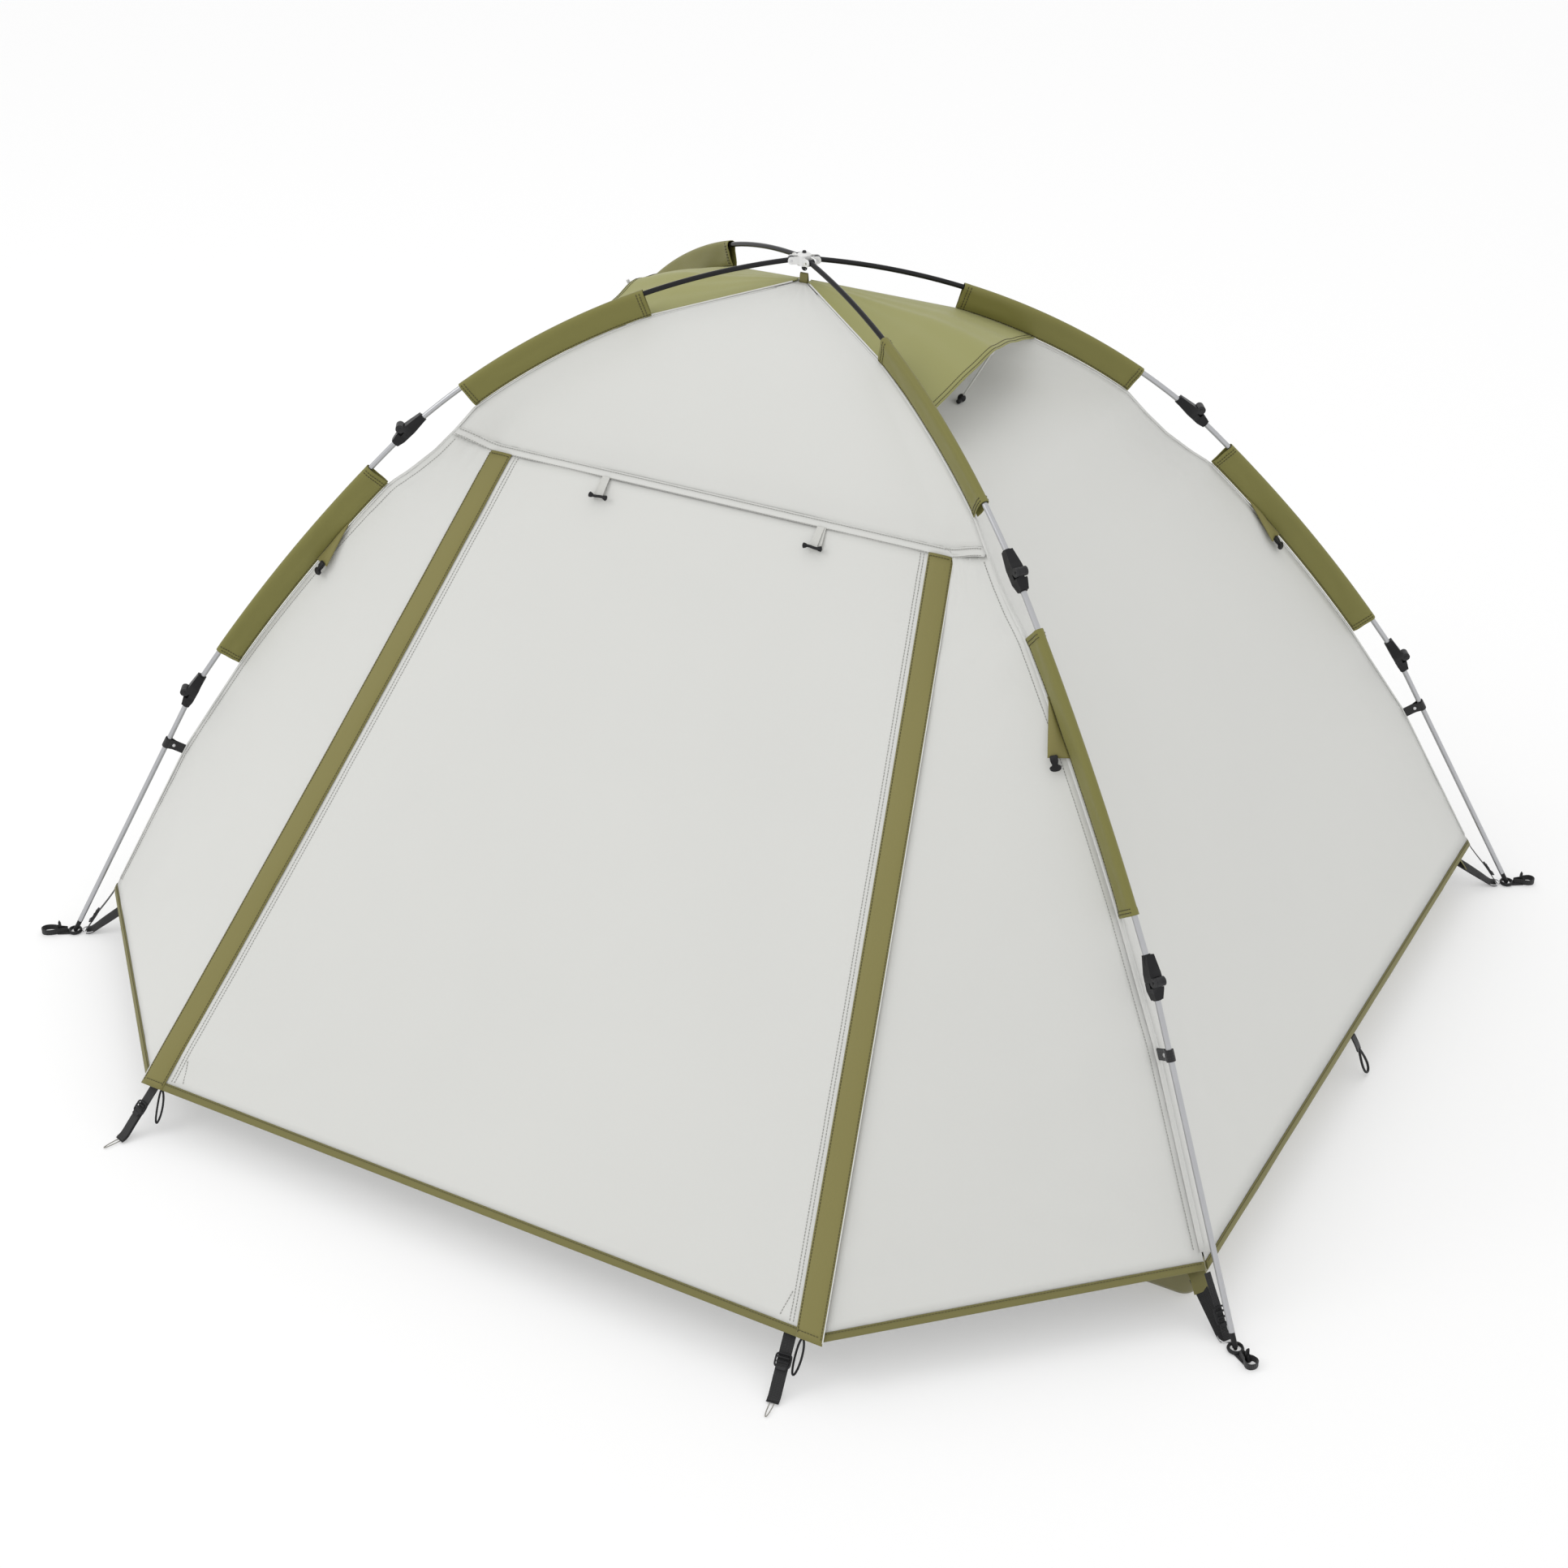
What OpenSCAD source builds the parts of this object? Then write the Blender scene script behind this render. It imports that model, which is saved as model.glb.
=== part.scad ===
// Quick-pitch dome tent: a fly hung under an outside folding pole frame with four legs.
// X runs between the two closed sides, -Y is the front door, +Z is up, and the ground is z = 0.

/* [Frame] */
// Height of the hub pins above the ground
hub_height = 1298; // [1290:1:1306]
// Angle of each leg from the X axis
leg_azimuth = 32.75; // [32:0.25:34]
// Outside diameter of the poles
pole_d = 9.5; // [9:0.1:10]
// Length of a curved upper pole
upper_length = 738; // [734:1:742]
// Length of a curved middle pole
mid_length = 653; // [650:1:656]
// Radius of the upper pole's bend
upper_radius = 1198; // [1190:1:1206]
// Radius of the middle pole's bend
mid_radius = 3253; // [3240:1:3266]
// Slope of the straight lower pole
lower_slope = -61.1; // [-61.6:0.1:-60.6]
// Distance of the elbow pins outside the poles' axis
pin_offset = 13; // [13:0.1:13.4]
// Tilt of the lower elbow's pin, which sends the lower pole past the upper one
pin_tilt = 2.4; // [2.2:0.1:2.6]

/* [Fly] */
// Depth of the pole sleeves, from the pole's axis to the fly
sleeve_depth = 41; // [39:1:43]
// Thickness of the cloth panels
cloth = 2; // [1.6:0.1:2.2]
// Height of the fly's peak
peak_height = 1262; // [1258:1:1264]
// Radius at which the fly's leg corners hang
corner_radius = 1303; // [1300:1:1306]
// Height of the fly's leg corners
corner_height = 93; // [90:1:96]
// Inward sag of the panels between the legs
panel_sag = 25; // [20:1:28]
// Width of the hem tape
hem_width = 14; // [12:1:16]
// Rise of the vent hoods over the fly
hood_rise = 50; // [45:1:55]

/* [Doors] */
// Half width of a door at its top seam
door_top = 424; // [420:1:428]
// Half width of a door at the ground
door_bottom = 638; // [634:1:642]
// Distance of the door's foot from the X axis
door_reach = 1126; // [1120:1:1132]
// Height of the door's foot
door_foot = 79; // [76:1:84]
// Width of the storm flaps over the zips
flap_width = 45; // [42:1:48]
// Gap between a door and the wing beside it
zip_gap = 12; // [12:0.5:13]

/* [Floor] */
// Length of the groundsheet
floor_length = 2140; // [2120:5:2150]
// Width of the groundsheet
floor_width = 1360; // [1340:5:1370]
// Height of the groundsheet's raised edge
floor_edge = 62; // [50:1:66]

/* [Hidden] */

$fn = 32;
arc_fn = 720;
far = 400;

pole_r = pole_d / 2;
tube_wall = 1;
spigot_gap = 0.15;
socket_gap = 0.45;

hub_pin_r = 22;
pin_r = 2;
pin_gap = 0.06;
upper_slope = -6.2;
mid_slope = -43.8;

// Points and curves of one leg, as [distance from the Z axis, height]
function arc_centre(start, slope, rad) = [start.x + rad * sin(slope), start.y - rad * cos(slope)];
function arc_point(centre, rad, slope) = [centre.x - rad * sin(slope), centre.y + rad * cos(slope)];
function turn(length, rad) = length / rad * 180 / PI;

hub_pin = [hub_pin_r, hub_height];
upper_centre = arc_centre(hub_pin, upper_slope, upper_radius);
upper_end_slope = upper_slope - turn(upper_length, upper_radius);
upper_elbow_at = arc_point(upper_centre, upper_radius, upper_end_slope);
mid_centre = arc_centre(upper_elbow_at, mid_slope, mid_radius);
mid_end_slope = mid_slope - turn(mid_length, mid_radius);
lower_elbow_at = arc_point(mid_centre, mid_radius, mid_end_slope);
foot_r = lower_elbow_at.x - lower_elbow_at.y / tan(lower_slope);
lower_length = norm([foot_r - lower_elbow_at.x, lower_elbow_at.y]);

// Slopes of the two elbows' own hinge blocks
upper_hinge_slope = (upper_end_slope + mid_slope) / 2;
lower_hinge_slope = (mid_end_slope + lower_slope) / 2;

// Sleeves, by their distance along each pole from its upper end
upper_sleeve_from = 255;
upper_sleeve_to = 610;
mid_sleeve_from = 92;
mid_sleeve_to = 549;
tube_from = 560;
stand_off = 16;

// Reach of an elbow's fork up its pole and of its tongue down the next one
fork_depth = 43;
tongue_depth = 28;

// The fly's ridge under each leg: its height at distance r from the Z axis
sleeve_start_r = 262;
gap_start_r = 567;
gap_low_r = 640;
gap_end_r = 722;
mid_seam_end_r = 1016;
clip_r = 1134;
clip_height = 398;
function on_offset_arc(centre, rad, r) = centre.y + sqrt(pow(rad - sleeve_depth, 2) - pow(r - centre.x, 2));
function upper_ridge(r) = on_offset_arc(upper_centre, upper_radius, r);
function mid_ridge(r) = on_offset_arc(mid_centre, mid_radius, r);
gap_low = (upper_ridge(gap_start_r) + mid_ridge(gap_end_r)) / 2 - 12;
function ridge(r) =
    r < sleeve_start_r ? lookup(r, [[0, peak_height], [sleeve_start_r, upper_ridge(sleeve_start_r)]]) :
    r < gap_start_r ? upper_ridge(r) :
    r < gap_end_r ? lookup(r, [
        [gap_start_r, upper_ridge(gap_start_r)],
        [gap_low_r, gap_low],
        [gap_end_r, mid_ridge(gap_end_r)]
    ]) :
    r < mid_seam_end_r ? mid_ridge(r) :
    lookup(r, [
        [mid_seam_end_r, mid_ridge(mid_seam_end_r)],
        [clip_r, clip_height],
        [corner_radius, corner_height]
    ]);

peak_hole = 12;
seam_r = 605;
hem_r = corner_radius - hem_width / 2;
edge_gap = 4;
side_stations = [
    peak_hole, 70, 130, 200, 262, 330, 400, 480, 567, 640, 722, 800, 870, 945, 1016, 1075, 1134, 1215, hem_r
];
top_stations = [peak_hole, 70, 130, 200, 262, 330, 400, 480, 540, seam_r];
wing_steps = 10;
columns = 8;
cos_leg = cos(leg_azimuth);
sin_leg = sin(leg_azimuth);

// Cloth sinks between two legs: nothing at the legs and most of its depth soon after
function sink(v) = 1 - pow(abs(v), 6);
function hump(x, middle, width) = exp(-pow((x - middle) / width, 2));
vent_sink = 45;
vent_r = 350;
vent_spread = 130;
function side_sink(r, v) =
    sink(v) * (panel_sag * sin(min(180, 180 * r / corner_radius)) + vent_sink * hump(r, vent_r, vent_spread));

// Corners of a door's opening, from its top seam to its foot
seam_height = 980;
seam_reach = 308;
door_top_centre = [0, -seam_reach, seam_height];
door_foot_centre = [0, -door_reach, door_foot];
door_length = norm(door_foot_centre - door_top_centre);
door_slope = asin((seam_height - door_foot) / door_length);
function along_door(u) = door_top_centre + (door_foot_centre - door_top_centre) * u;
function door_half(u) = door_top + (door_bottom - door_top) * u;
door_out = [0, -sin(door_slope), cos(door_slope)];
hem_share = hem_width / door_length;
door_sag = 8;

// ---- Helpers ----

// Places children in the vertical plane of one leg
module leg(name) {
    angles = [
        ["fr", -leg_azimuth], ["rr", leg_azimuth], ["rl", 180 - leg_azimuth], ["fl", 180 + leg_azimuth]
    ];
    found = [for (a = angles) if (a[0] == name) a[1]];
    rotate([0, 0, found[0]]) children();
}

// Sweeps a flat profile along an arc; the profile's x points away from the arc's centre
module arc_sweep(centre, rad, slope_from, slope_to) {
    translate([centre.x, 0, centre.y])
        rotate([90, 0, 0])
            rotate([0, 0, 90 + slope_to])
                rotate_extrude(angle = slope_from - slope_to, $fn = arc_fn)
                    translate([rad, 0])
                        children();
}

// Moves children to a point of the leg, with +X down the pole and +Z away from the tent
module at_slope(point, slope) {
    translate([point.x, 0, point.y]) rotate([0, -slope, 0]) children();
}

module along_x(length, r) {
    rotate([0, 90, 0]) cylinder(h = length, r = r);
}

module across(width, r) {
    rotate([90, 0, 0]) cylinder(h = width, r = r, center = true);
}

// Extrudes a flat x-z outline across the leg's plane
module slab(width) {
    rotate([90, 0, 0]) linear_extrude(width, center = true) children();
}

function flat(rows) = [for (row = rows) each row];
function unit(v) = v / norm(v);
function normal_at(grid, i, j) =
    let (
        n = len(grid) - 1,
        m = len(grid[0]) - 1,
        down = grid[min(i + 1, n)][j] - grid[max(i - 1, 0)][j],
        side = grid[i][min(j + 1, m)] - grid[i][max(j - 1, 0)]
    )
    unit(cross(down, side));

// A closed sheet of cloth: grid holds its outer points, and thickness goes inward
module sheet(grid, thickness) {
    n = len(grid) - 1;
    m = len(grid[0]) - 1;
    outer = flat(grid);
    inner = [
        for (i = [0 : n]) for (j = [0 : m]) grid[i][j] - thickness * normal_at(grid, i, j)
    ];
    size = len(outer);
    function at(i, j) = i * (m + 1) + j;
    function pair(a, b, c, d) = [[a, b, c], [a, c, d]];
    tops = [for (i = [0 : n - 1]) for (j = [0 : m - 1])
        each pair(at(i, j), at(i, j + 1), at(i + 1, j + 1), at(i + 1, j))];
    bottoms = [for (f = tops) [f[2] + size, f[1] + size, f[0] + size]];
    rim = concat(
        [for (j = [0 : m]) at(0, j)],
        [for (i = [1 : n]) at(i, m)],
        [for (j = [m - 1 : -1 : 0]) at(n, j)],
        [for (i = [n - 1 : -1 : 1]) at(i, 0)]
    );
    walls = [for (k = [0 : len(rim) - 1])
        let (a = rim[k], b = rim[(k + 1) % len(rim)])
        each pair(b, a, a + size, b + size)];
    polyhedron(points = concat(outer, inner), faces = concat(tops, bottoms, walls));
}

// Evenly spaced values from a to b
function steps(a, b, count) = [for (i = [0 : count]) a + (b - a) * i / count];

module both_ends() {
    children();
    mirror([0, 1, 0]) children();
}

module both_sides() {
    children();
    mirror([1, 0, 0]) children();
}

// ---- Hub ----

hub_core_r = 12;
hub_height_half = 9;
ear_gap = 5.6;
ear_wall = 3;
ear_r = 6;

module hub_body() {
    color("whitesmoke") difference() {
        union() {
            translate([0, 0, hub_height - hub_height_half])
                cylinder(h = 2 * hub_height_half, r = hub_core_r);
            translate([0, 0, hub_height + hub_height_half])
                cylinder(h = 3, r1 = hub_core_r, r2 = 7);
            for (name = ["fr", "rr", "rl", "fl"])
                leg(name)
                    for (side = [-1, 1])
                        translate([0, side * (ear_gap + ear_wall / 2), hub_height])
                            slab(ear_wall) {
                                translate([8, -ear_r]) square([hub_pin_r - 8, 2 * ear_r]);
                                translate([hub_pin_r, 0]) circle(r = ear_r);
                            }
        }
        for (name = ["fr", "rr", "rl", "fl"])
            leg(name)
                translate([hub_pin_r, 0, hub_height]) across(40, pin_r + pin_gap);
        translate([0, 0, hub_height - 20]) cylinder(h = 40, r = 2.5);
    }
}

module hub_pins() {
    color("silver")
        for (name = ["fr", "rr", "rl", "fl"])
            leg(name)
                translate([hub_pin_r, 0, hub_height]) across(2 * (ear_gap + ear_wall) + 1, pin_r);
}

tab_top = 1281;

module peak_hook() {
    color("black") {
        translate([0, 0, tab_top + 1]) cylinder(h = 4, r = 3.2);
        translate([0, 0, tab_top + 5]) cylinder(h = hub_height - tab_top + 10, r = 1.6);
        translate([0, 0, hub_height + hub_height_half + 3.2]) cylinder(h = 3, r1 = 4, r2 = 2.6);
    }
}

// ---- Legs ----

eye_r = 5.6;

module upper_pole() {
    slope_end = upper_slope - turn(tube_from, upper_radius);
    spigot_end = upper_slope - turn(tube_from + 30, upper_radius);
    color("black") difference() {
        union() {
            translate([hub_pin.x, 0, hub_pin.y]) across(2 * ear_gap - 0.6, eye_r);
            arc_sweep(upper_centre, upper_radius, upper_slope, slope_end) circle(r = pole_r - 0.35);
            arc_sweep(upper_centre, upper_radius, slope_end + 0.1, spigot_end)
                circle(r = pole_r - tube_wall - spigot_gap);
        }
        translate([hub_pin.x, 0, hub_pin.y]) across(40, pin_r + pin_gap);
    }
}

module tube_arc(centre, rad, from, to) {
    arc_sweep(centre, rad, from, to) difference() {
        circle(r = pole_r);
        circle(r = pole_r - tube_wall);
    }
}

module upper_tube() {
    color("silver") tube_arc(
        upper_centre, upper_radius,
        upper_slope - turn(tube_from + 0.2, upper_radius),
        upper_end_slope + turn(stand_off, upper_radius)
    );
}

// The hinge blocks' outlines in the leg's plane, with the pin at [0, pin_offset]
block_half = 9;
block_width = 20;
tongue_width = 10.6;
slot_width = 11.2;
knuckle_r = 7.5;
knuckle_clear = 8.3;
face_gap = 0.4;
back_drop = 2;
socket_end_r = 6.8;
fork_shoulder = 14;
tongue_shoulder = 12;

// Side view of a block that tapers from its shoulder at the hinge to its socket's end
module block_outline(depth, shoulder) {
    polygon([
        [depth, -socket_end_r], [shoulder, -block_half], [face_gap / 2, -block_half],
        [face_gap / 2, pin_offset], [knuckle_r, pin_offset - back_drop], [depth, socket_end_r]
    ]);
    translate([0, pin_offset]) circle(r = knuckle_r);
}

// A block with that side view, which tapers in width as well
module block(depth, shoulder) {
    half = block_width / 2;
    intersection() {
        slab(block_width) block_outline(depth, shoulder);
        translate([0, 0, -far / 2]) linear_extrude(far) polygon([
            [-knuckle_clear, -half], [shoulder, -half], [depth, -socket_end_r],
            [depth, socket_end_r], [shoulder, half], [-knuckle_clear, half]
        ]);
    }
}

module fork_slot() {
    translate([0, 0, pin_offset]) across(slot_width, knuckle_clear);
    translate([-6, -slot_width / 2, 0]) cube([12, slot_width, 2 * pin_offset]);
}

// The full-width part of a tongue, clear of the fork's round ears
module tongue_block() {
    intersection() {
        block(tongue_depth - 1, tongue_shoulder);
        union() {
            translate([knuckle_r + 0.9, -far, -far]) cube([far, 2 * far, 2 * far]);
            translate([face_gap / 2, -far, -far]) cube([far, 2 * far, far + 3]);
        }
    }
}

module socket(reach) {
    translate([reach, 0, 0])
        rotate([0, reach > 0 ? -90 : 90, 0])
            cylinder(h = abs(reach) - 8, r1 = socket_end_r, r2 = block_half);
}

module rivet() {
    translate([0, 0, pin_offset]) across(block_width + 2.4, pin_r);
}

// Fork on the lower end of a pole; point and slope are the pole's end
module fork(point, hinge_slope, pole_point, pole_slope, tilt) {
    difference() {
        union() {
            at_slope(point, hinge_slope)
                rotate([0, 0, -tilt])
                    difference() {
                        mirror([1, 0, 0]) block(fork_depth - 1, fork_shoulder);
                        fork_slot();
                    }
            at_slope(pole_point, pole_slope)
                translate([fork_depth / 2, 0, 0]) socket(-fork_depth);
        }
        at_slope(pole_point, pole_slope)
            translate([-far, 0, 0])
                along_x(far + fork_depth / 2 - stand_off + 1, pole_r + socket_gap);
        at_slope(point, hinge_slope)
            rotate([0, 0, -tilt])
                translate([0, 0, pin_offset]) across(block_width + 10, pin_r + pin_gap);
    }
}

// Tongue on the upper end of a pole
module tongue(point, hinge_slope, pole_point, pole_slope, tilt) {
    difference() {
        union() {
            at_slope(point, hinge_slope)
                rotate([0, 0, -tilt]) {
                    slab(tongue_width) block_outline(tongue_depth - 1, tongue_shoulder);
                    tongue_block();
                }
            at_slope(pole_point, pole_slope)
                translate([-tongue_depth / 2, 0, 0]) socket(tongue_depth);
        }
        at_slope(pole_point, pole_slope)
            translate([-tongue_depth / 2 + stand_off - 1, 0, 0])
                along_x(far, pole_r + socket_gap);
        at_slope(point, hinge_slope)
            rotate([0, 0, -tilt])
                translate([0, 0, pin_offset]) across(block_width + 10, pin_r + pin_gap);
    }
}

// Where each socket's middle lies on its pole, and the pole's slope there
half_fork = fork_depth / 2;
half_tongue = tongue_depth / 2;
upper_socket_slope = upper_end_slope + turn(half_fork, upper_radius);
upper_socket_at = arc_point(upper_centre, upper_radius, upper_socket_slope);
mid_top_slope = mid_slope - turn(half_tongue, mid_radius);
mid_top_at = arc_point(mid_centre, mid_radius, mid_top_slope);
mid_low_slope = mid_end_slope + turn(half_fork, mid_radius);
mid_low_at = arc_point(mid_centre, mid_radius, mid_low_slope);
lower_top_at = lower_elbow_at + half_tongue * [cos(lower_slope), sin(lower_slope)];

module upper_elbow() {
    color([0.08, 0.08, 0.08]) {
        fork(upper_elbow_at, upper_hinge_slope, upper_socket_at, upper_socket_slope, 0);
        at_slope(upper_elbow_at, upper_hinge_slope) rivet();
    }
}

module mid_pole() {
    color("silver") tube_arc(
        mid_centre, mid_radius,
        mid_slope - turn(stand_off, mid_radius), mid_end_slope + turn(stand_off, mid_radius)
    );
}

module mid_elbows() {
    color([0.08, 0.08, 0.08]) {
        tongue(upper_elbow_at, upper_hinge_slope, mid_top_at, mid_top_slope, 0);
        fork(lower_elbow_at, lower_hinge_slope, mid_low_at, mid_low_slope, pin_tilt);
        at_slope(lower_elbow_at, lower_hinge_slope) rotate([0, 0, -pin_tilt]) rivet();
    }
}

foot_length = 30;
foot_pin_r = 3;
foot_top = 26;

module lower_pole() {
    color("silver") at_slope(lower_elbow_at, lower_slope)
        translate([stand_off, 0, 0]) difference() {
            along_x(lower_length - stand_off - foot_top / sin(-lower_slope), pole_r);
            translate([-1, 0, 0]) along_x(lower_length, pole_r - tube_wall);
        }
}

// The lower elbow's tongue and the plug that ends the pole in a round foot
module lower_fittings() {
    color([0.08, 0.08, 0.08]) {
        tongue(lower_elbow_at, lower_hinge_slope, lower_top_at, lower_slope, pin_tilt);
        at_slope([foot_r, 0], lower_slope) {
            translate([-foot_length - foot_top, 0, 0])
                along_x(foot_length, pole_r - tube_wall - spigot_gap);
            translate([-foot_top / sin(-lower_slope) + 0.2, 0, 0])
                along_x(foot_top / sin(-lower_slope) - 6, pole_r - 0.4);
        }
        translate([foot_r - 2.2, 0, foot_pin_r]) sphere(r = foot_pin_r);
        at_slope([foot_r, 0], lower_slope) translate([-8, 0, 0]) along_x(4.8, foot_pin_r);
    }
}

// ---- Sleeves ----

sleeve_bore = pole_r + 1.1;
sleeve_wall = 1.4;

module sleeve_profile() {
    difference() {
        union() {
            circle(r = sleeve_bore + sleeve_wall);
            translate([-sleeve_depth + 4, -0.9]) square([sleeve_depth - 8, 1.8]);
        }
        circle(r = sleeve_bore);
    }
}

module upper_sleeve() {
    color("olivedrab") arc_sweep(
        upper_centre, upper_radius,
        upper_slope - turn(upper_sleeve_from, upper_radius),
        upper_slope - turn(upper_sleeve_to, upper_radius)
    ) sleeve_profile();
}

// The tab and hook that a guy line takes, lying down over the fly from the sleeve's foot
tab_from = 190;
tab_length = 104;
tab_width = 34;
tab_skew = 14;
tab_fall = 24;
hook_length = 26;
hook_width = 14;
module guy_tab() {
    slope = mid_slope - turn(tab_from, mid_radius);
    at_slope(arc_point(mid_centre, mid_radius, slope), slope)
        translate([0, -0.6, 5 - sleeve_depth])
            rotate([tab_fall, 0, 0]) {
                color("olivedrab") linear_extrude(1.6)
                    polygon([[0, 0], [tab_length, 0], [tab_length - tab_skew, -tab_width]]);
                color("black")
                    translate([tab_length - tab_skew - 4, 4 - tab_width, -1])
                        cube([hook_length, hook_width, 4]);
            }
}

// side is -1 where the tab lies on the leg's -Y side, and 1 where it lies on the other
module mid_sleeve(side) {
    color("olivedrab") arc_sweep(
        mid_centre, mid_radius,
        mid_slope - turn(mid_sleeve_from, mid_radius),
        mid_slope - turn(mid_sleeve_to, mid_radius)
    ) sleeve_profile();
    if (side < 0) guy_tab();
    else mirror([0, 1, 0]) guy_tab();
}

// ---- Fly ----

function side_point(r, v) =
    let (low = side_sink(r, v))
    [cos_leg * r - 0.55 * low, v * (sin_leg * r - edge_gap), ridge(r) - 0.83 * low];

function side_grid(stations) = [for (r = stations) [for (v = steps(-1, 1, columns)) side_point(r, v)]];

module side_panels() {
    color("gainsboro") both_sides() sheet(side_grid(side_stations), cloth);
}

function top_point(r, v) =
    let (low = sink(v) * panel_sag * pow(r / seam_r, 2))
    [v * (cos_leg * r - edge_gap), 0.65 * low - sin_leg * r, ridge(r) - 0.76 * low];

module top_panels() {
    color("gainsboro") both_ends()
        sheet([for (r = top_stations) [for (v = steps(-1, 1, columns)) top_point(r, v)]], cloth);
}

// A wing runs from a door's zip to the leg's ridge
seam_gap = 5;
wing_first = seam_gap / door_length;
function wing_point(u, v) =
    let (
        r = seam_r + seam_gap + (corner_radius - seam_r - seam_gap) * u,
        zip = along_door(u) + [door_half(u) + zip_gap / 2, 0, 0],
        rim = [cos_leg * r - edge_gap, -sin_leg * r - 2, ridge(r)]
    )
    zip + (rim - zip) * v - panel_sag / 2 * sin(180 * v) * sin(180 * u) * [0.3, -0.6, 0.7];

module wing_panels() {
    color("gainsboro") both_sides() both_ends()
        sheet([
            for (u = steps(wing_first, 1 - hem_share, wing_steps))
                [for (v = steps(0, 1, 5)) wing_point(u, v)]
        ], cloth);
}

hood_length = 360;
hood_leg_r = 398;
hood_lift = 3.5;
function hood_point(u, v) =
    let (
        r = peak_hole + (hood_leg_r - peak_hole) * u,
        edge = [cos_leg * r, 0, ridge(r) + hood_lift],
        crest = [
            peak_hole + (hood_length - peak_hole) * u, 0,
            edge.z + hood_rise * u * (0.55 + 0.55 * u)
        ],
        shape = 1 - pow(abs(v), 1.25)
    )
    edge + (crest - edge) * shape + [0, v * (sin_leg * r - 1), 0];

module vent_hoods() {
    color("olivedrab") {
        both_sides() sheet([
            for (u = steps(0, 1, 8)) [for (v = steps(-1, 1, 12)) hood_point(u, v)]
        ], cloth);
        translate([-6, -1.5, peak_height + hood_lift]) cube([12, 3, tab_top - peak_height - hood_lift]);
    }
}

module side_hem() {
    sheet([for (r = [hem_r + 0.5, corner_radius])
        [for (v = steps(-1, 1, columns)) side_point(r, v) + [1, 0, 0.5]]], cloth + 1);
}

module wing_hem() {
    sheet([for (u = [1 - hem_share + 0.0006, 1])
        [for (v = steps(0, 1, 5)) wing_point(u, v) + [0, -0.8, 0.6]]], cloth + 1);
}

module fly_hem() {
    color("darkolivegreen") {
        both_sides() side_hem();
        both_sides() both_ends() wing_hem();
    }
}

// ---- Doors ----

flap_lift = 4;
// The extra height of a flap's outer edge at its top, where the wing rises to the leg
flap_rise = 6;
sag_spread = 400;
function door_sink(u, x) = door_sag * sin(180 * u) * cos(90 * x / (door_half(u) + sag_spread));
function door_point(u, x, lift) = along_door(u) + [x, 0, 0] + door_out * (lift - door_sink(u, x));

function door_grid(from, to, rows, inset, lift) = [
    for (u = steps(from, to, rows))
        [for (v = steps(-1, 1, columns)) door_point(u, v * (door_half(u) - inset), lift)]
];

module front_door() {
    color("gainsboro") sheet(door_grid(wing_first, 1 - hem_share, wing_steps, zip_gap / 2, 0), cloth);
}

module storm_flap() {
    sheet([
        for (u = steps(wing_first, 1, wing_steps))
            [for (side = [-0.5, 0.5])
                let (rise = side > 0 ? flap_rise * pow(1 - u, 4) : 0)
                along_door(u) + [door_half(u) - 4 + side * flap_width, 0, 0] + door_out * (flap_lift + rise)]
    ], 1.4);
}

module front_flaps() {
    color("olivedrab") both_sides() storm_flap();
    color("darkolivegreen")
        sheet(door_grid(1 - hem_share + 0.0006, 1, 1, flap_width / 2 + 6, 0.8), cloth + 1);
}

toggle_x = 205;
module front_toggles() {
    for (side = [-1, 1])
        translate(along_door(0.02) + [side * toggle_x, 0, 0] + 3 * door_out)
            rotate([door_slope, 0, 0]) {
                color("lightgray") translate([-6, -38, -1]) cube([12, 38, 1.2]);
                color("black") translate([-18, -42, 0]) along_x(36, 3);
            }
}

module rear_door() mirror([0, 1, 0]) front_door();
module rear_flaps() mirror([0, 1, 0]) front_flaps();
module rear_toggles() mirror([0, 1, 0]) front_toggles();

slider_length = 18;
module zip_slider() {
    color("dimgray")
        translate(along_door(0.975) + [door_half(0.975), 0, 0])
            rotate([door_slope, 0, 0])
                rotate([0, 0, atan((door_bottom - door_top) / door_length)])
                    translate([-4, -slider_length / 2, -2]) {
                        cube([8, slider_length, 3.4]);
                        translate([2.5, -16, 1]) cube([3, 17, 1.6]);
                    }
}

// ---- Vent props ----

prop_foot = [300, 0, 1109];
prop_reach = 106;
prop_rise = 60;

module vent_prop_right() {
    translate(prop_foot) {
        color("black") sphere(r = 7);
        color("whitesmoke") rotate([0, 90 - prop_rise, 0]) cylinder(h = prop_reach, r = 1.8);
    }
}

module vent_prop_left() mirror([1, 0, 0]) vent_prop_right();

// ---- Floor and inner tent ----

module groundsheet() {
    color("darkolivegreen") difference() {
        translate([-floor_length / 2, -floor_width / 2, 0]) cube([floor_length, floor_width, floor_edge]);
        translate([-floor_length / 2 + cloth, -floor_width / 2 + cloth, cloth])
            cube([floor_length - 2 * cloth, floor_width - 2 * cloth, floor_edge]);
    }
}

inner_gap = 45;
inner_thickness = 1.5;
inner_last = 1235;
door_cut = 0.5;
cut_r = 540;
inner_stations = [60, 160, 262, 400, cut_r, 640, 760, 880, 1016, 1134, inner_last];
function inner_ridge(r) = ridge(r) - 1.15 * inner_gap - 62 * hump(r, vent_r, vent_spread);

function inner_side(r, v) = [cos_leg * r - 0.5 * inner_gap, v * (sin_leg * r - 8), inner_ridge(r)];
function inner_end(r, v) = [v * (cos_leg * r - 8 - 0.5 * inner_gap), -sin_leg * r + 6, inner_ridge(r) - 14];

module inner_end_part(low, high, from, to) {
    sheet([for (r = inner_stations) if (r >= low && r <= high)
        [for (v = steps(from, to, 3)) inner_end(r, v)]], inner_thickness);
}

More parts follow.
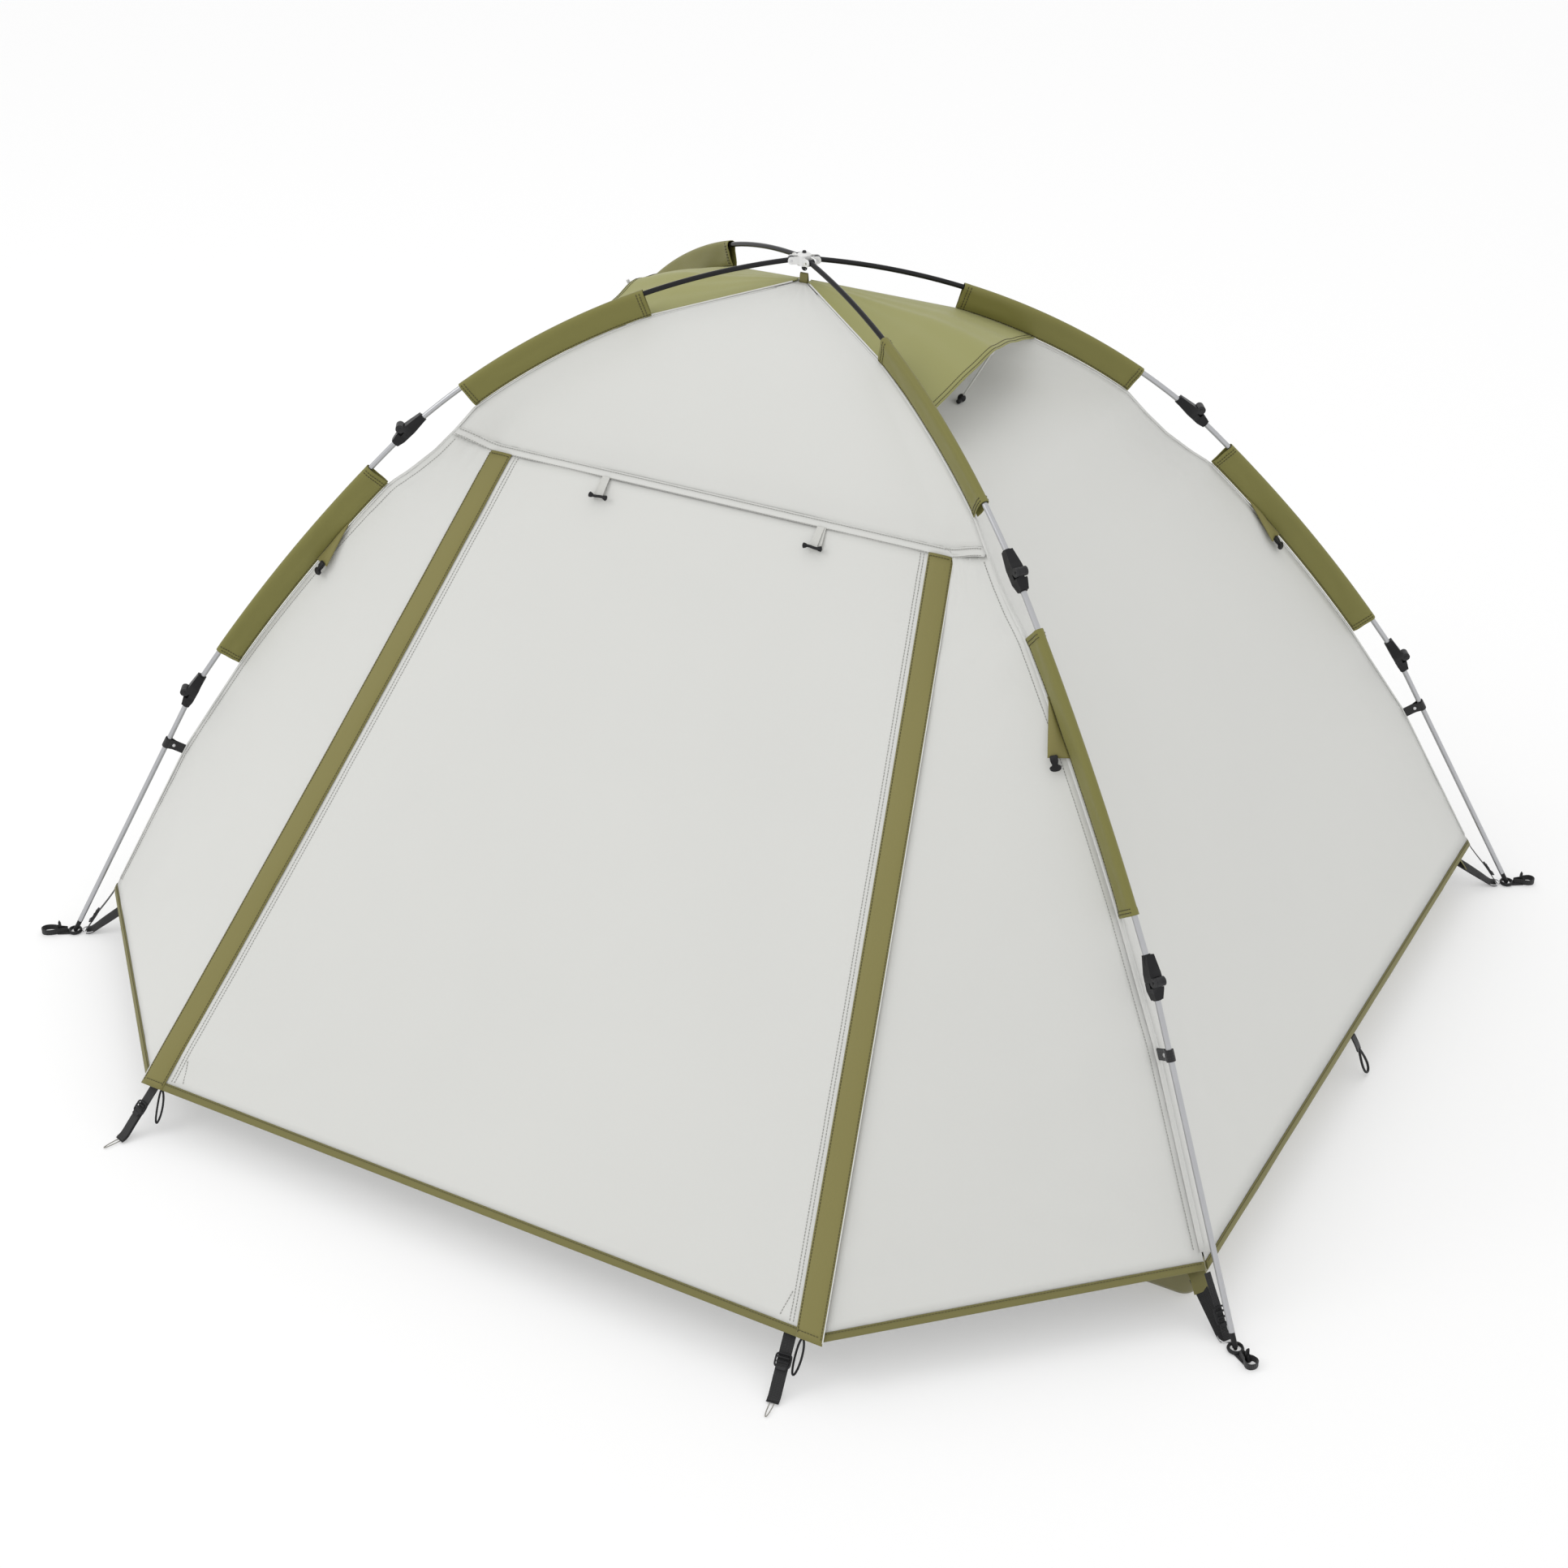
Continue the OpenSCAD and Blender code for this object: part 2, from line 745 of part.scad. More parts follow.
module inner_tent() {
    color("lightgray") {
        both_sides() sheet([
            for (r = inner_stations) [for (v = steps(-1, 1, 4)) inner_side(r, v)]
        ], inner_thickness);
        both_ends() {
            inner_end_part(0, cut_r, -0.97, 0.97);
            both_sides() inner_end_part(cut_r + 1, inner_last, door_cut, 0.97);
        }
    }
}

// ---- Straps ----

strap = 1.8;
strap_width = 20;
thin_strap = 12;
ring_r = 6;
ring_out = 1436;
foot_ring = 8;
eye_height = 3;
foot_eye = foot_r - 2;
webbing_start = foot_r - 40;
hook_at = foot_r + 24;

module clip() {
    at_slope([foot_r + (clip_height + 10) / tan(lower_slope), clip_height + 10], lower_slope) {
        difference() {
            translate([-10, 0, 0]) along_x(20, pole_r + 3);
            translate([-11, 0, 0]) along_x(22, pole_r + 0.8);
        }
        translate([-10, -1, -32]) cube([20, 2, 32 - pole_r - 2]);
    }
}

// A flat strap in the leg's plane between two points, pressed on the ground at its low end
module strap_between(high, low, width) {
    span = high - low;
    translate([low.x, 0, low.y])
        rotate([0, -atan2(span.y, span.x), 0])
            translate([0, -width / 2, 0]) cube([norm(span), width, strap]);
}

module corner_strap() {
    // webbing along the ground, with the foot's hole and the peg's hole
    difference() {
        union() {
            translate([webbing_start, -strap_width / 2, 0])
                cube([ring_out - webbing_start, strap_width, strap]);
            translate([ring_out, 0, 0]) cylinder(h = eye_height, r = ring_r + 5);
            translate([foot_eye, 0, 0]) cylinder(h = eye_height, r = foot_ring + 3);
        }
        translate([ring_out, 0, -1]) cylinder(h = 2 * eye_height, r = ring_r);
        translate([foot_eye, 0, -1]) cylinder(h = 2 * eye_height, r = foot_ring);
    }
    // webbing up to the floor's corner under the hem, and the thin strap with its buckle to the fly's corner
    strap_between([corner_radius - 26, floor_edge], [webbing_start - 1, strap + 0.4], strap_width);
    strap_between([corner_radius + 6, corner_height - 12], [foot_r - 22, strap + 5], thin_strap);
    at_slope([corner_radius + 34, 48], -41) translate([-9, -8, 0]) cube([18, 16, 6]);
    // upright hook that clips the peg's loop to the pole
    translate([hook_at, -3, strap]) cube([4, 6, 20]);
}

module corner_straps() {
    color([0.1, 0.1, 0.1])
        for (name = ["fr", "rr", "rl", "fl"])
            leg(name) {
                corner_strap();
                clip();
            }
}

stake_top = [628, -1126, 64];
stake_low = [642, -1206, 3];
stake_width = 22;

module stake_strap() {
    span = stake_low - stake_top;
    translate(stake_low)
        rotate([0, 0, atan2(-span.y, -span.x)])
            rotate([0, -atan(-span.z / norm([span.x, span.y])), 0]) {
                translate([0, -stake_width / 2, 0]) cube([norm(span), stake_width, 2.4]);
                translate([norm(span) * 0.62, -stake_width / 2 - 2, 2.6]) cube([14, stake_width + 4, 4]);
            }
}

module side_loop() {
    translate([1109, -9, 52]) rotate([0, 8, 0]) cube([2, 18, 26]);
    translate([1113, 0, 8]) rotate([0, -4, 0]) difference() {
        translate([0, -8, 0]) cube([2.5, 16, 46]);
        translate([-1, -4.5, 3]) cube([5, 9, 40]);
    }
}

module stake_straps() {
    color([0.1, 0.1, 0.1]) {
        both_sides() both_ends() stake_strap();
        both_sides() side_loop();
    }
}

hub_body();
hub_pins();
peak_hook();
leg("fr") upper_pole();  // upper_pole_fr
leg("rr") upper_pole();  // upper_pole_rr
leg("rl") upper_pole();  // upper_pole_rl
leg("fl") upper_pole();  // upper_pole_fl
leg("fr") upper_tube();  // upper_tube_fr
leg("rr") upper_tube();  // upper_tube_rr
leg("rl") upper_tube();  // upper_tube_rl
leg("fl") upper_tube();  // upper_tube_fl
leg("fr") upper_elbow();  // upper_elbow_fr
leg("rr") upper_elbow();  // upper_elbow_rr
leg("rl") upper_elbow();  // upper_elbow_rl
leg("fl") upper_elbow();  // upper_elbow_fl
leg("fr") mid_pole();  // mid_pole_fr
leg("rr") mid_pole();  // mid_pole_rr
leg("rl") mid_pole();  // mid_pole_rl
leg("fl") mid_pole();  // mid_pole_fl
leg("fr") mid_elbows();  // mid_elbows_fr
leg("rr") mid_elbows();  // mid_elbows_rr
leg("rl") mid_elbows();  // mid_elbows_rl
leg("fl") mid_elbows();  // mid_elbows_fl
leg("fr") lower_pole();  // lower_pole_fr
leg("rr") lower_pole();  // lower_pole_rr
leg("rl") lower_pole();  // lower_pole_rl
leg("fl") lower_pole();  // lower_pole_fl
leg("fr") lower_fittings();  // lower_fittings_fr
leg("rr") lower_fittings();  // lower_fittings_rr
leg("rl") lower_fittings();  // lower_fittings_rl
leg("fl") lower_fittings();  // lower_fittings_fl
leg("fr") upper_sleeve();  // upper_sleeve_fr
leg("rr") upper_sleeve();  // upper_sleeve_rr
leg("rl") upper_sleeve();  // upper_sleeve_rl
leg("fl") upper_sleeve();  // upper_sleeve_fl
leg("fr") mid_sleeve(-1);  // mid_sleeve_fr
leg("rr") mid_sleeve(-1);  // mid_sleeve_rr
leg("rl") mid_sleeve(1);  // mid_sleeve_rl
leg("fl") mid_sleeve(1);  // mid_sleeve_fl
side_panels();
top_panels();
wing_panels();
vent_hoods();
fly_hem();
groundsheet();
inner_tent();
front_door();
rear_door();
front_flaps();
rear_flaps();
front_toggles();
rear_toggles();
vent_prop_right();
vent_prop_left();
corner_straps();
stake_straps();
zip_slider();  // zip_slider_fr
mirror([0, 1, 0]) zip_slider();  // zip_slider_rr
mirror([0, 1, 0]) mirror([1, 0, 0]) zip_slider();  // zip_slider_rl
mirror([1, 0, 0]) zip_slider();  // zip_slider_fl
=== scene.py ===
"""A quick-pitch dome tent under its outside pole frame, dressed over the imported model."""
import math

import bmesh
import bpy
import numpy as np
from mathutils import Matrix, Vector, noise


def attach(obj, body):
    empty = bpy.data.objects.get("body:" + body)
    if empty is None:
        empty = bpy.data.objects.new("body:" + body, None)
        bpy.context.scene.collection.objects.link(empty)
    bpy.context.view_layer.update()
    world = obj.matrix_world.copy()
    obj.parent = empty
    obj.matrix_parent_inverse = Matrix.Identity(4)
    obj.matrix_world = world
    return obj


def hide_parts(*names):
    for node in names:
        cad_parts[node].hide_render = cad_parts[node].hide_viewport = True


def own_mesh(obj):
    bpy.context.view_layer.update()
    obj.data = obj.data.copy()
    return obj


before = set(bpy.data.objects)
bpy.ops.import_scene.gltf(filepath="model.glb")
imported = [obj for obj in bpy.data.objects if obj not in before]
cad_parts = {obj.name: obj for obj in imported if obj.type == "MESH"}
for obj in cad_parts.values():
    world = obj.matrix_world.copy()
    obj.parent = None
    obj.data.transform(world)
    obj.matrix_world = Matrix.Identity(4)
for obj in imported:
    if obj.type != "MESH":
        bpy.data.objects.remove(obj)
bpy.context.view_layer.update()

LEGS = {"fr": (1, -1), "rr": (1, 1), "rl": (-1, 1), "fl": (-1, -1)}

# ---- Dimensions of the frame and the fly, in metres and degrees ----

LEG_AZIMUTH = 32.75
HUB_PIN = np.array([0.022, 1.298])
SLEEVE_DEPTH = 0.041
UPPER_SLOPE, UPPER_RADIUS, UPPER_LENGTH = -6.2, 1.198, 0.738
MID_SLOPE, MID_RADIUS, MID_LENGTH = -43.8, 3.253, 0.653
LOWER_SLOPE = -61.1
LOWER_TAN = math.tan(math.radians(LOWER_SLOPE))
UPPER_SLEEVE = (0.255, 0.610)
MID_SLEEVE = (0.092, 0.549)

PEAK_HEIGHT = 1.262
PEAK_HOLE = 0.012
CORNER_R, CORNER_Z = 1.303, 0.093
CLIP_R, CLIP_Z = 1.134, 0.398
PANEL_SAG = 0.025
VENT_SINK, VENT_R, VENT_SPREAD = 0.045, 0.350, 0.130
SEAM_R = 0.605
RIDGE_START_R, RIDGE_END_R = 0.262, 1.016
EDGE_GAP = 0.004
HEM = 0.014

SEAM_AT = np.array([0, -0.308, 0.980])
DOOR_FOOT = np.array([0, -1.126, 0.079])
DOOR_TOP_HALF, DOOR_FOOT_HALF = 0.424, 0.638
DOOR_LENGTH = float(np.linalg.norm(DOOR_FOOT - SEAM_AT))
DOOR_SAG = 0.008
FLAP_WIDTH, FLAP_LIFT, FLAP_RISE = 0.045, 0.0022, 0.0028
ZIP_GAP = 0.012

HOOD_LENGTH, HOOD_LEG_R, HOOD_RISE, HOOD_LIFT = 0.360, 0.398, 0.050, 0.0035
TAB_TOP = 1.281
FLOOR_LENGTH, FLOOR_WIDTH, FLOOR_EDGE = 2.140, 1.360, 0.062
RING_OUT = 1.436


def end_of(sy):
    return "front" if sy < 0 else "rear"


def hand_of(sx):
    return "right" if sx > 0 else "left"


def sin(degrees):
    return math.sin(math.radians(degrees))


def cos(degrees):
    return math.cos(math.radians(degrees))


COS_LEG, SIN_LEG = cos(LEG_AZIMUTH), sin(LEG_AZIMUTH)


def arc_centre(start, slope, radius):
    return np.array([start[0] + radius * sin(slope), start[1] - radius * cos(slope)])


def arc_point(centre, radius, slope):
    return np.array([centre[0] - radius * sin(slope), centre[1] + radius * cos(slope)])


UPPER_CENTRE = arc_centre(HUB_PIN, UPPER_SLOPE, UPPER_RADIUS)
UPPER_END = arc_point(UPPER_CENTRE, UPPER_RADIUS, UPPER_SLOPE - math.degrees(UPPER_LENGTH / UPPER_RADIUS))
MID_CENTRE = arc_centre(UPPER_END, MID_SLOPE, MID_RADIUS)
MID_END = arc_point(MID_CENTRE, MID_RADIUS, MID_SLOPE - math.degrees(MID_LENGTH / MID_RADIUS))
FOOT_R = MID_END[0] - MID_END[1] / LOWER_TAN


def ridge_on(centre, radius, r):
    return centre[1] + math.sqrt((radius - SLEEVE_DEPTH) ** 2 - (r - centre[0]) ** 2)


GAP_R = (0.567, 0.600, 0.640, 0.685, 0.722)
GAP_SAG = (0, 0.008, 0.0125, 0.008, 0)
START_Z = ridge_on(UPPER_CENTRE, UPPER_RADIUS, RIDGE_START_R)
GAP_Z = (ridge_on(UPPER_CENTRE, UPPER_RADIUS, GAP_R[0]), ridge_on(MID_CENTRE, MID_RADIUS, GAP_R[-1]))
SEAM_END_Z = ridge_on(MID_CENTRE, MID_RADIUS, RIDGE_END_R)


def ridge(r):
    """Height of the fly under a leg, at distance r from the hub's axis."""
    if r < RIDGE_START_R:
        return float(np.interp(r, [0, RIDGE_START_R], [PEAK_HEIGHT, START_Z]))
    if r < GAP_R[0]:
        return ridge_on(UPPER_CENTRE, UPPER_RADIUS, r)
    if r < GAP_R[-1]:
        straight = np.interp(r, [GAP_R[0], GAP_R[-1]], GAP_Z)
        return float(straight - np.interp(r, GAP_R, GAP_SAG))
    if r < RIDGE_END_R:
        return ridge_on(MID_CENTRE, MID_RADIUS, r)
    return float(np.interp(r, [RIDGE_END_R, CLIP_R, CORNER_R], [SEAM_END_Z, CLIP_Z, CORNER_Z]))


# ---- Surfaces of the fly in the +X, -Y quarter; other quarters mirror them ----


def hump(x, middle, width):
    return math.exp(-(((x - middle) / width) ** 2))


def sink(v, power=6):
    return 1 - abs(v) ** power


def side(r, v):
    low = sink(v) * (PANEL_SAG * sin(min(180, 180 * r / CORNER_R)) + VENT_SINK
                     * hump(r, VENT_R, VENT_SPREAD))
    return np.array([COS_LEG * r - 0.55 * low, v * (SIN_LEG * r - EDGE_GAP / 2), ridge(r) - 0.83 * low])


def seam_curve(v):
    """The seam over the door: straight across the door, then out to the legs."""
    reach = COS_LEG * SEAM_R - EDGE_GAP / 2
    x = v * reach
    out = max(0.0, abs(x) - DOOR_TOP_HALF) / (reach - DOOR_TOP_HALF)
    out = out * out * (3 - 2 * out)
    return np.array([
        x,
        SEAM_AT[1] + (-SIN_LEG * SEAM_R - SEAM_AT[1]) * out,
        SEAM_AT[2] + (ridge(SEAM_R) - SEAM_AT[2]) * out,
    ])


def top_base(r, v):
    low = sink(v) * PANEL_SAG * (r / SEAM_R) ** 2
    return np.array([v * (COS_LEG * r - EDGE_GAP / 2), 0.65 * low - SIN_LEG * r, ridge(r) - 0.76 * low])


def top(r, v):
    share = (r / SEAM_R) ** 3
    return top_base(r, v) + share * (seam_curve(v) - top_base(SEAM_R, v))


def along_door(u):
    return SEAM_AT + (DOOR_FOOT - SEAM_AT) * u


def door_half(u):
    return DOOR_TOP_HALF + (DOOR_FOOT_HALF - DOOR_TOP_HALF) * u


DOOR_OUT = np.array([0, -(SEAM_AT[2] - DOOR_FOOT[2]), SEAM_AT[1] - DOOR_FOOT[1]]) / DOOR_LENGTH
DOOR_DOWN = (DOOR_FOOT - SEAM_AT) / DOOR_LENGTH


def door(u, x):
    """A point of the door at share u of its length and x from its middle."""
    low = DOOR_SAG * sin(180 * min(max(u, 0), 1)) * cos(90 * x / (door_half(u) + 0.4))
    return along_door(u) + np.array([x, 0, 0]) - DOOR_OUT * low


def wing(u, v):
    """From the door's zip at v 0 to the leg at v 1."""
    r = SEAM_R + (CORNER_R - SEAM_R) * u
    zip_line = door(u, door_half(u) + ZIP_GAP / 2)
    rim = np.array([COS_LEG * r - EDGE_GAP / 2, -SIN_LEG * r - 0.001, ridge(r)])
    sag = PANEL_SAG / 2 * sin(180 * v) * sin(180 * min(u, 1))
    return zip_line + (rim - zip_line) * v - sag * np.array([0.3, -0.6, 0.7])


def hood(u, v):
    """From the peak at u 0 to the free edge at u 1, and from leg to leg in v."""
    r = PEAK_HOLE + (HOOD_LEG_R - PEAK_HOLE) * u
    edge = np.array([COS_LEG * r, 0, ridge(r) + HOOD_LIFT])
    crest = np.array([
        PEAK_HOLE + (HOOD_LENGTH - PEAK_HOLE) * u, 0,
        edge[2] + HOOD_RISE * u * (0.55 + 0.55 * u),
    ])
    shape = 1 - abs(v) ** 1.25
    return edge + (crest - edge) * shape + np.array([0, v * (SIN_LEG * r - 0.001), 0])


# ---- Folds and creases of the cloth ----

CORNERS = [
    (np.array([COS_LEG * CORNER_R, -SIN_LEG * CORNER_R, CORNER_Z]), 0.34, 0.0054, 19),
    (np.array([DOOR_FOOT_HALF, DOOR_FOOT[1], DOOR_FOOT[2]]), 0.26, 0.0046, 17),
    (np.array([DOOR_TOP_HALF, SEAM_AT[1], SEAM_AT[2]]), 0.10, 0.0016, 13),
    (np.array([COS_LEG * CLIP_R, -SIN_LEG * CLIP_R, CLIP_Z]), 0.13, 0.0028, 15),
    (np.array([COS_LEG * GAP_R[-1], -SIN_LEG * GAP_R[-1], GAP_Z[1]]), 0.14, 0.0026, 13),
    (np.array([COS_LEG * GAP_R[0], -SIN_LEG * GAP_R[0], GAP_Z[0]]), 0.12, 0.0022, 13),
    (np.array([0, 0, PEAK_HEIGHT]), 0.12, 0.0005, 11),
]


def creases(p, sx, sy):
    """How far a point of the cloth stands proud: creases run out of each corner that pulls on it."""
    proud = 0.0018 * noise.noise(Vector(p) * 4.0) + 0.0009 * noise.noise(Vector(p) * 9.0
            + Vector((7, 3, 1)))
    for corner, reach, height, count in CORNERS:
        away = p - corner
        far = float(np.linalg.norm(away))
        if far > 4 * reach or far < 1e-6:
            continue
        turn = math.atan2(away[2], math.hypot(away[0], away[1])) * 2 + math.atan2(away[1], away[0])
        turn += 0.25 * noise.noise(Vector(p) * 6.0 + Vector((sx, sy, 0)))
        proud += height * math.exp(-far / reach * 1.6) * min(1,
                                                             far / 0.03) * math.sin(count * turn + sx + 2
                                                                     * sy)
    return proud


# ---- Mesh helpers ----


def normals_of(grid, away_from):
    """Unit normals of a grid of points, turned away from a point inside."""
    down = np.gradient(grid, axis=0)
    across = np.gradient(grid, axis=1)
    n = np.cross(down, across)
    n /= np.maximum(np.linalg.norm(n, axis=2, keepdims=True), 1e-12)
    if np.sum(n * (grid - away_from)) < 0:
        n = -n
    return n


INSIDE = np.array([0, 0, 0.35])


def new_object(name, mesh, material):
    piece = bpy.data.objects.new(name, mesh)
    bpy.context.scene.collection.objects.link(piece)
    mesh.materials.append(material)
    return piece


def mesh_from(name, points, faces, material, uvs=None, smooth=True):
    mesh = bpy.data.meshes.new(name)
    mesh.from_pydata([tuple(map(float, p)) for p in points], [], faces)
    if uvs is not None:
        layer = mesh.uv_layers.new(name="metres")
        for loop in mesh.loops:
            layer.data[loop.index].uv = uvs[loop.vertex_index]
    mesh.polygons.foreach_set("use_smooth", [smooth] * len(mesh.polygons))
    built = bmesh.new()
    built.from_mesh(mesh)
    bmesh.ops.recalc_face_normals(built, faces=built.faces)
    built.to_mesh(mesh)
    built.free()
    mesh.update()
    return new_object(name, mesh, material)


def lengths(grid, axis):
    """Distance run along a grid's rows or columns, averaged over the other way."""
    steps = np.linalg.norm(np.diff(grid, axis=axis), axis=2)
    run = np.cumsum(steps, axis=axis)
    zero = np.zeros_like(run[:1]) if axis == 0 else np.zeros_like(run[:, :1])
    return np.concatenate([zero, run], axis=axis)


def shell(name, grid, thickness, material, closed=False, away_from=INSIDE, normals=None):
    """A closed cloth shell: the grid is its outer face and thickness goes inward."""
    grid = np.asarray(grid, float)
    rows, columns = grid.shape[:2]
    outward = normals_of(grid, away_from) if normals is None else normals
    inner = grid - thickness * outward
    points = np.concatenate([grid.reshape(-1, 3), inner.reshape(-1, 3)])
    size = rows * columns
    across = lengths(grid, 1)
    down = lengths(grid, 0)
    middle = across[:, -1:] / 2
    uv = np.stack([across - middle, down], axis=2).reshape(-1, 2)
    uvs = np.concatenate([uv, uv])
    last = columns if closed else columns - 1
    faces = []
    for i in range(rows - 1):
        for j in range(last):
            k = (j + 1) % columns
            a, b, c, d = i * columns + j, i * columns + k, (i + 1) * columns + k, (i + 1) * columns + j
            faces.append((a, b, c, d))
            faces.append((d + size, c + size, b + size, a + size))
    rims = [[(0, j) for j in range(columns)], [(rows - 1, j) for j in range(columns)]]
    if not closed:
        rims += [[(i, 0) for i in range(rows)], [(i, columns - 1) for i in range(rows)]]
    for rim in rims:
        around = rim + [rim[0]] if closed else rim
        for (i, j), (k, m) in zip(around, around[1:]):
            a, b = i * columns + j, k * columns + m
            faces.append((a, b, b + size, a + size))
    return mesh_from(name, points, faces, material, uvs)


def area_of(grid):
    grid = np.asarray(grid, float)
    a, b, c, d = grid[:-1, :-1], grid[:-1, 1:], grid[1:, 1:], grid[1:, :-1]
    halves = np.linalg.norm(np.cross(b - a, d - a), axis=2) + np.linalg.norm(np.cross(b - c, d - c), axis=2)
    return float(halves.sum() / 2)


FLAT = {}
GRIDS = {}


def declare(piece, grid):
    """Says the flat size that a cloth piece is cut to, measured over its own surface."""
    grid = np.asarray(grid, float)
    GRIDS[piece.name] = grid
    width = float(lengths(grid, 1)[:, -1].max())
    length = float(lengths(grid, 0)[-1].max())
    area = min(area_of(grid), width * length)
    area = max(area, 0.301 * width * length)
    FLAT[piece.name] = (round(width, 3), round(length, 3), round(area, 4))


def fly_piece(piece, body="canopy"):
    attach(piece, body)
    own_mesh(piece)
    return piece


def quarter(points, sx, sy):
    """Carries +X, -Y points to the quarter with those signs; sy is -1 at the front."""
    return np.asarray(points, float) * np.array([sx, -sy, 1])


def cloth_piece(name, grid, thickness, material, slot_name, held, rests_on, body="canopy", **how):
    """One sheet of cloth: its shell, its flat size and the body it moves with; its slot name is not used."""
    piece = shell(name, grid, thickness, material, **how)
    declare(piece, grid)
    return fly_piece(piece, body)


def ruffled(grid, sx, sy, hold=None):
    """Adds the creases to a quarter's grid, along its normals; hold is a share from 0 to 1 at each point."""
    outward = normals_of(grid, INSIDE)
    proud = np.array([[creases(p, sx, sy) for p in row] for row in grid])
    if hold is not None:
        proud = proud * hold
    return grid + outward * proud[:, :, None]


def ruffled_end(grid, sy, hold):
    """A panel that spans one end of the tent, creased on both hands and carried to that end."""
    mirror = np.array([-1, 1, 1])
    right = ruffled(grid, 1, sy, hold)
    left = ruffled(grid * mirror, -1, sy, hold) * mirror
    return quarter(np.where(grid[:, :, :1] > 0, right, left), 1, sy)


def ribbon(name, path, sideways, width, thickness, material):
    """A strap along a path: sideways gives the direction across it at each point."""
    path = np.asarray(path, float)
    sideways = np.broadcast_to(np.asarray(sideways, float), path.shape)
    across = sideways / np.linalg.norm(sideways, axis=1, keepdims=True)
    along = np.gradient(path, axis=0)
    up = np.cross(along, across)
    up /= np.linalg.norm(up, axis=1, keepdims=True)
    profile = [(-0.5, 0.32), (-0.42, 0.5), (0.42, 0.5), (0.5, 0.32), (0.5, -0.32), (0.42, -0.5),
               (-0.42, -0.5), (-0.5, -0.32)]
    rings = [path + across * width * x + up * thickness * z for x, z in profile]
    points = np.stack(rings, axis=1)
    rows, columns = points.shape[:2]
    faces = []
    for i in range(rows - 1):
        for j in range(columns):
            k = (j + 1) % columns
            faces.append((i * columns + j, i * columns + k, (i + 1) * columns + k, (i + 1) * columns + j))
    faces.append(tuple(range(columns)))
    faces.append(tuple((rows - 1) * columns + j for j in range(columns)))
    run = np.concatenate([[0], np.cumsum(np.linalg.norm(np.diff(path, axis=0), axis=1))])
    uvs = [(x * width, run[i]) for i in range(rows) for x, z in profile]
    return mesh_from(name, points.reshape(-1, 3), faces, material, uvs, smooth=False)


def tube(name, path, radius, material, sides=10, taper=None):
    """A round bar or cord along a path, with a radius that may change along it."""
    path = np.asarray(path, float)
    along = np.gradient(path, axis=0)
    along /= np.linalg.norm(along, axis=1, keepdims=True)
    side_way = np.cross(along[0], [0, 0, 1.0])
    if np.linalg.norm(side_way) < 1e-3:
        side_way = np.array([1.0, 0, 0])
    rings = []
    for i, (p, t) in enumerate(zip(path, along)):
        side_way = side_way - t * side_way.dot(t)
        side_way /= np.linalg.norm(side_way)
        up = np.cross(t, side_way)
        r = radius * (taper[i] if taper is not None else 1)
        rings.append([p + r * (side_way * cos(360 * k / sides) + up * sin(360 * k / sides))
                      for k in range(sides)])
    rows = len(rings)
    faces = [
        (i * sides + k, i * sides + (k + 1) % sides, (i + 1) * sides + (k + 1) % sides, (i + 1) * sides + k)
        for i in range(rows - 1) for k in range(sides)
    ]
    faces += [tuple(range(sides)), tuple((rows - 1) * sides + k for k in range(sides))]
    return mesh_from(name, [p for ring in rings for p in ring], faces, material)


def join(name, pieces):
    """Makes one piece of several; they keep their materials."""
    built = bmesh.new()
    materials = []
    for piece in pieces:
        mesh = piece.data
        slots = []
        for material in mesh.materials:
            if material not in materials:
                materials.append(material)
            slots.append(materials.index(material))
        mesh.polygons.foreach_set("material_index", [slots[f.material_index] for f in mesh.polygons])
        built.from_mesh(mesh)
    mesh = bpy.data.meshes.new(name)
    built.to_mesh(mesh)
    built.free()
    for piece in pieces:
        bpy.data.objects.remove(piece)
    for material in materials:
        mesh.materials.append(material)
    whole = bpy.data.objects.new(name, mesh)
    bpy.context.scene.collection.objects.link(whole)
    return whole


# ---- Materials ----


def new_material(name):
    material = bpy.data.materials.new(name)
    material.use_nodes = True
    nodes = material.node_tree.nodes
    return material, nodes, material.node_tree.links, nodes["Principled BSDF"]


def mix_colours(nodes, links, factor, one, two):
    mix = nodes.new("ShaderNodeMix")
    mix.data_type = "RGBA"
    mix.inputs["A"].default_value = (*one, 1)
    mix.inputs["B"].default_value = (*two, 1)
    links.new(factor, mix.inputs["Factor"])
    return mix.outputs["Result"]


def noise_of(nodes, links, coords, scale, detail=3.0):
    texture = nodes.new("ShaderNodeTexNoise")
    texture.inputs["Scale"].default_value = scale
    texture.inputs["Detail"].default_value = detail
    links.new(coords, texture.inputs["Vector"])
    return texture.outputs["Fac"]


def bands(nodes, links, coords, direction, pitch):
    """Threads of a weave: a wave across the cloth with that pitch in metres."""
    wave = nodes.new("ShaderNodeTexWave")
    wave.bands_direction = direction
    wave.inputs["Scale"].default_value = 0.314159 / pitch
    wave.inputs["Distortion"].default_value = 0.3
    links.new(coords, wave.inputs["Vector"])
    return wave.outputs["Fac"]


def maths(nodes, links, operation, a, b):
    node = nodes.new("ShaderNodeMath")
    node.operation = operation
    for socket, value in zip(node.inputs, (a, b)):
        if isinstance(value, (int, float)):
            socket.default_value = value
        else:
            links.new(value, socket)
    return node.outputs[0]


def roughness_from(nodes, links, shader, value, low, high):
    rough = nodes.new("ShaderNodeMapRange")
    rough.inputs["To Min"].default_value = low
    rough.inputs["To Max"].default_value = high
    links.new(value, rough.inputs["Value"])
    links.new(rough.outputs["Result"], shader.inputs["Roughness"])


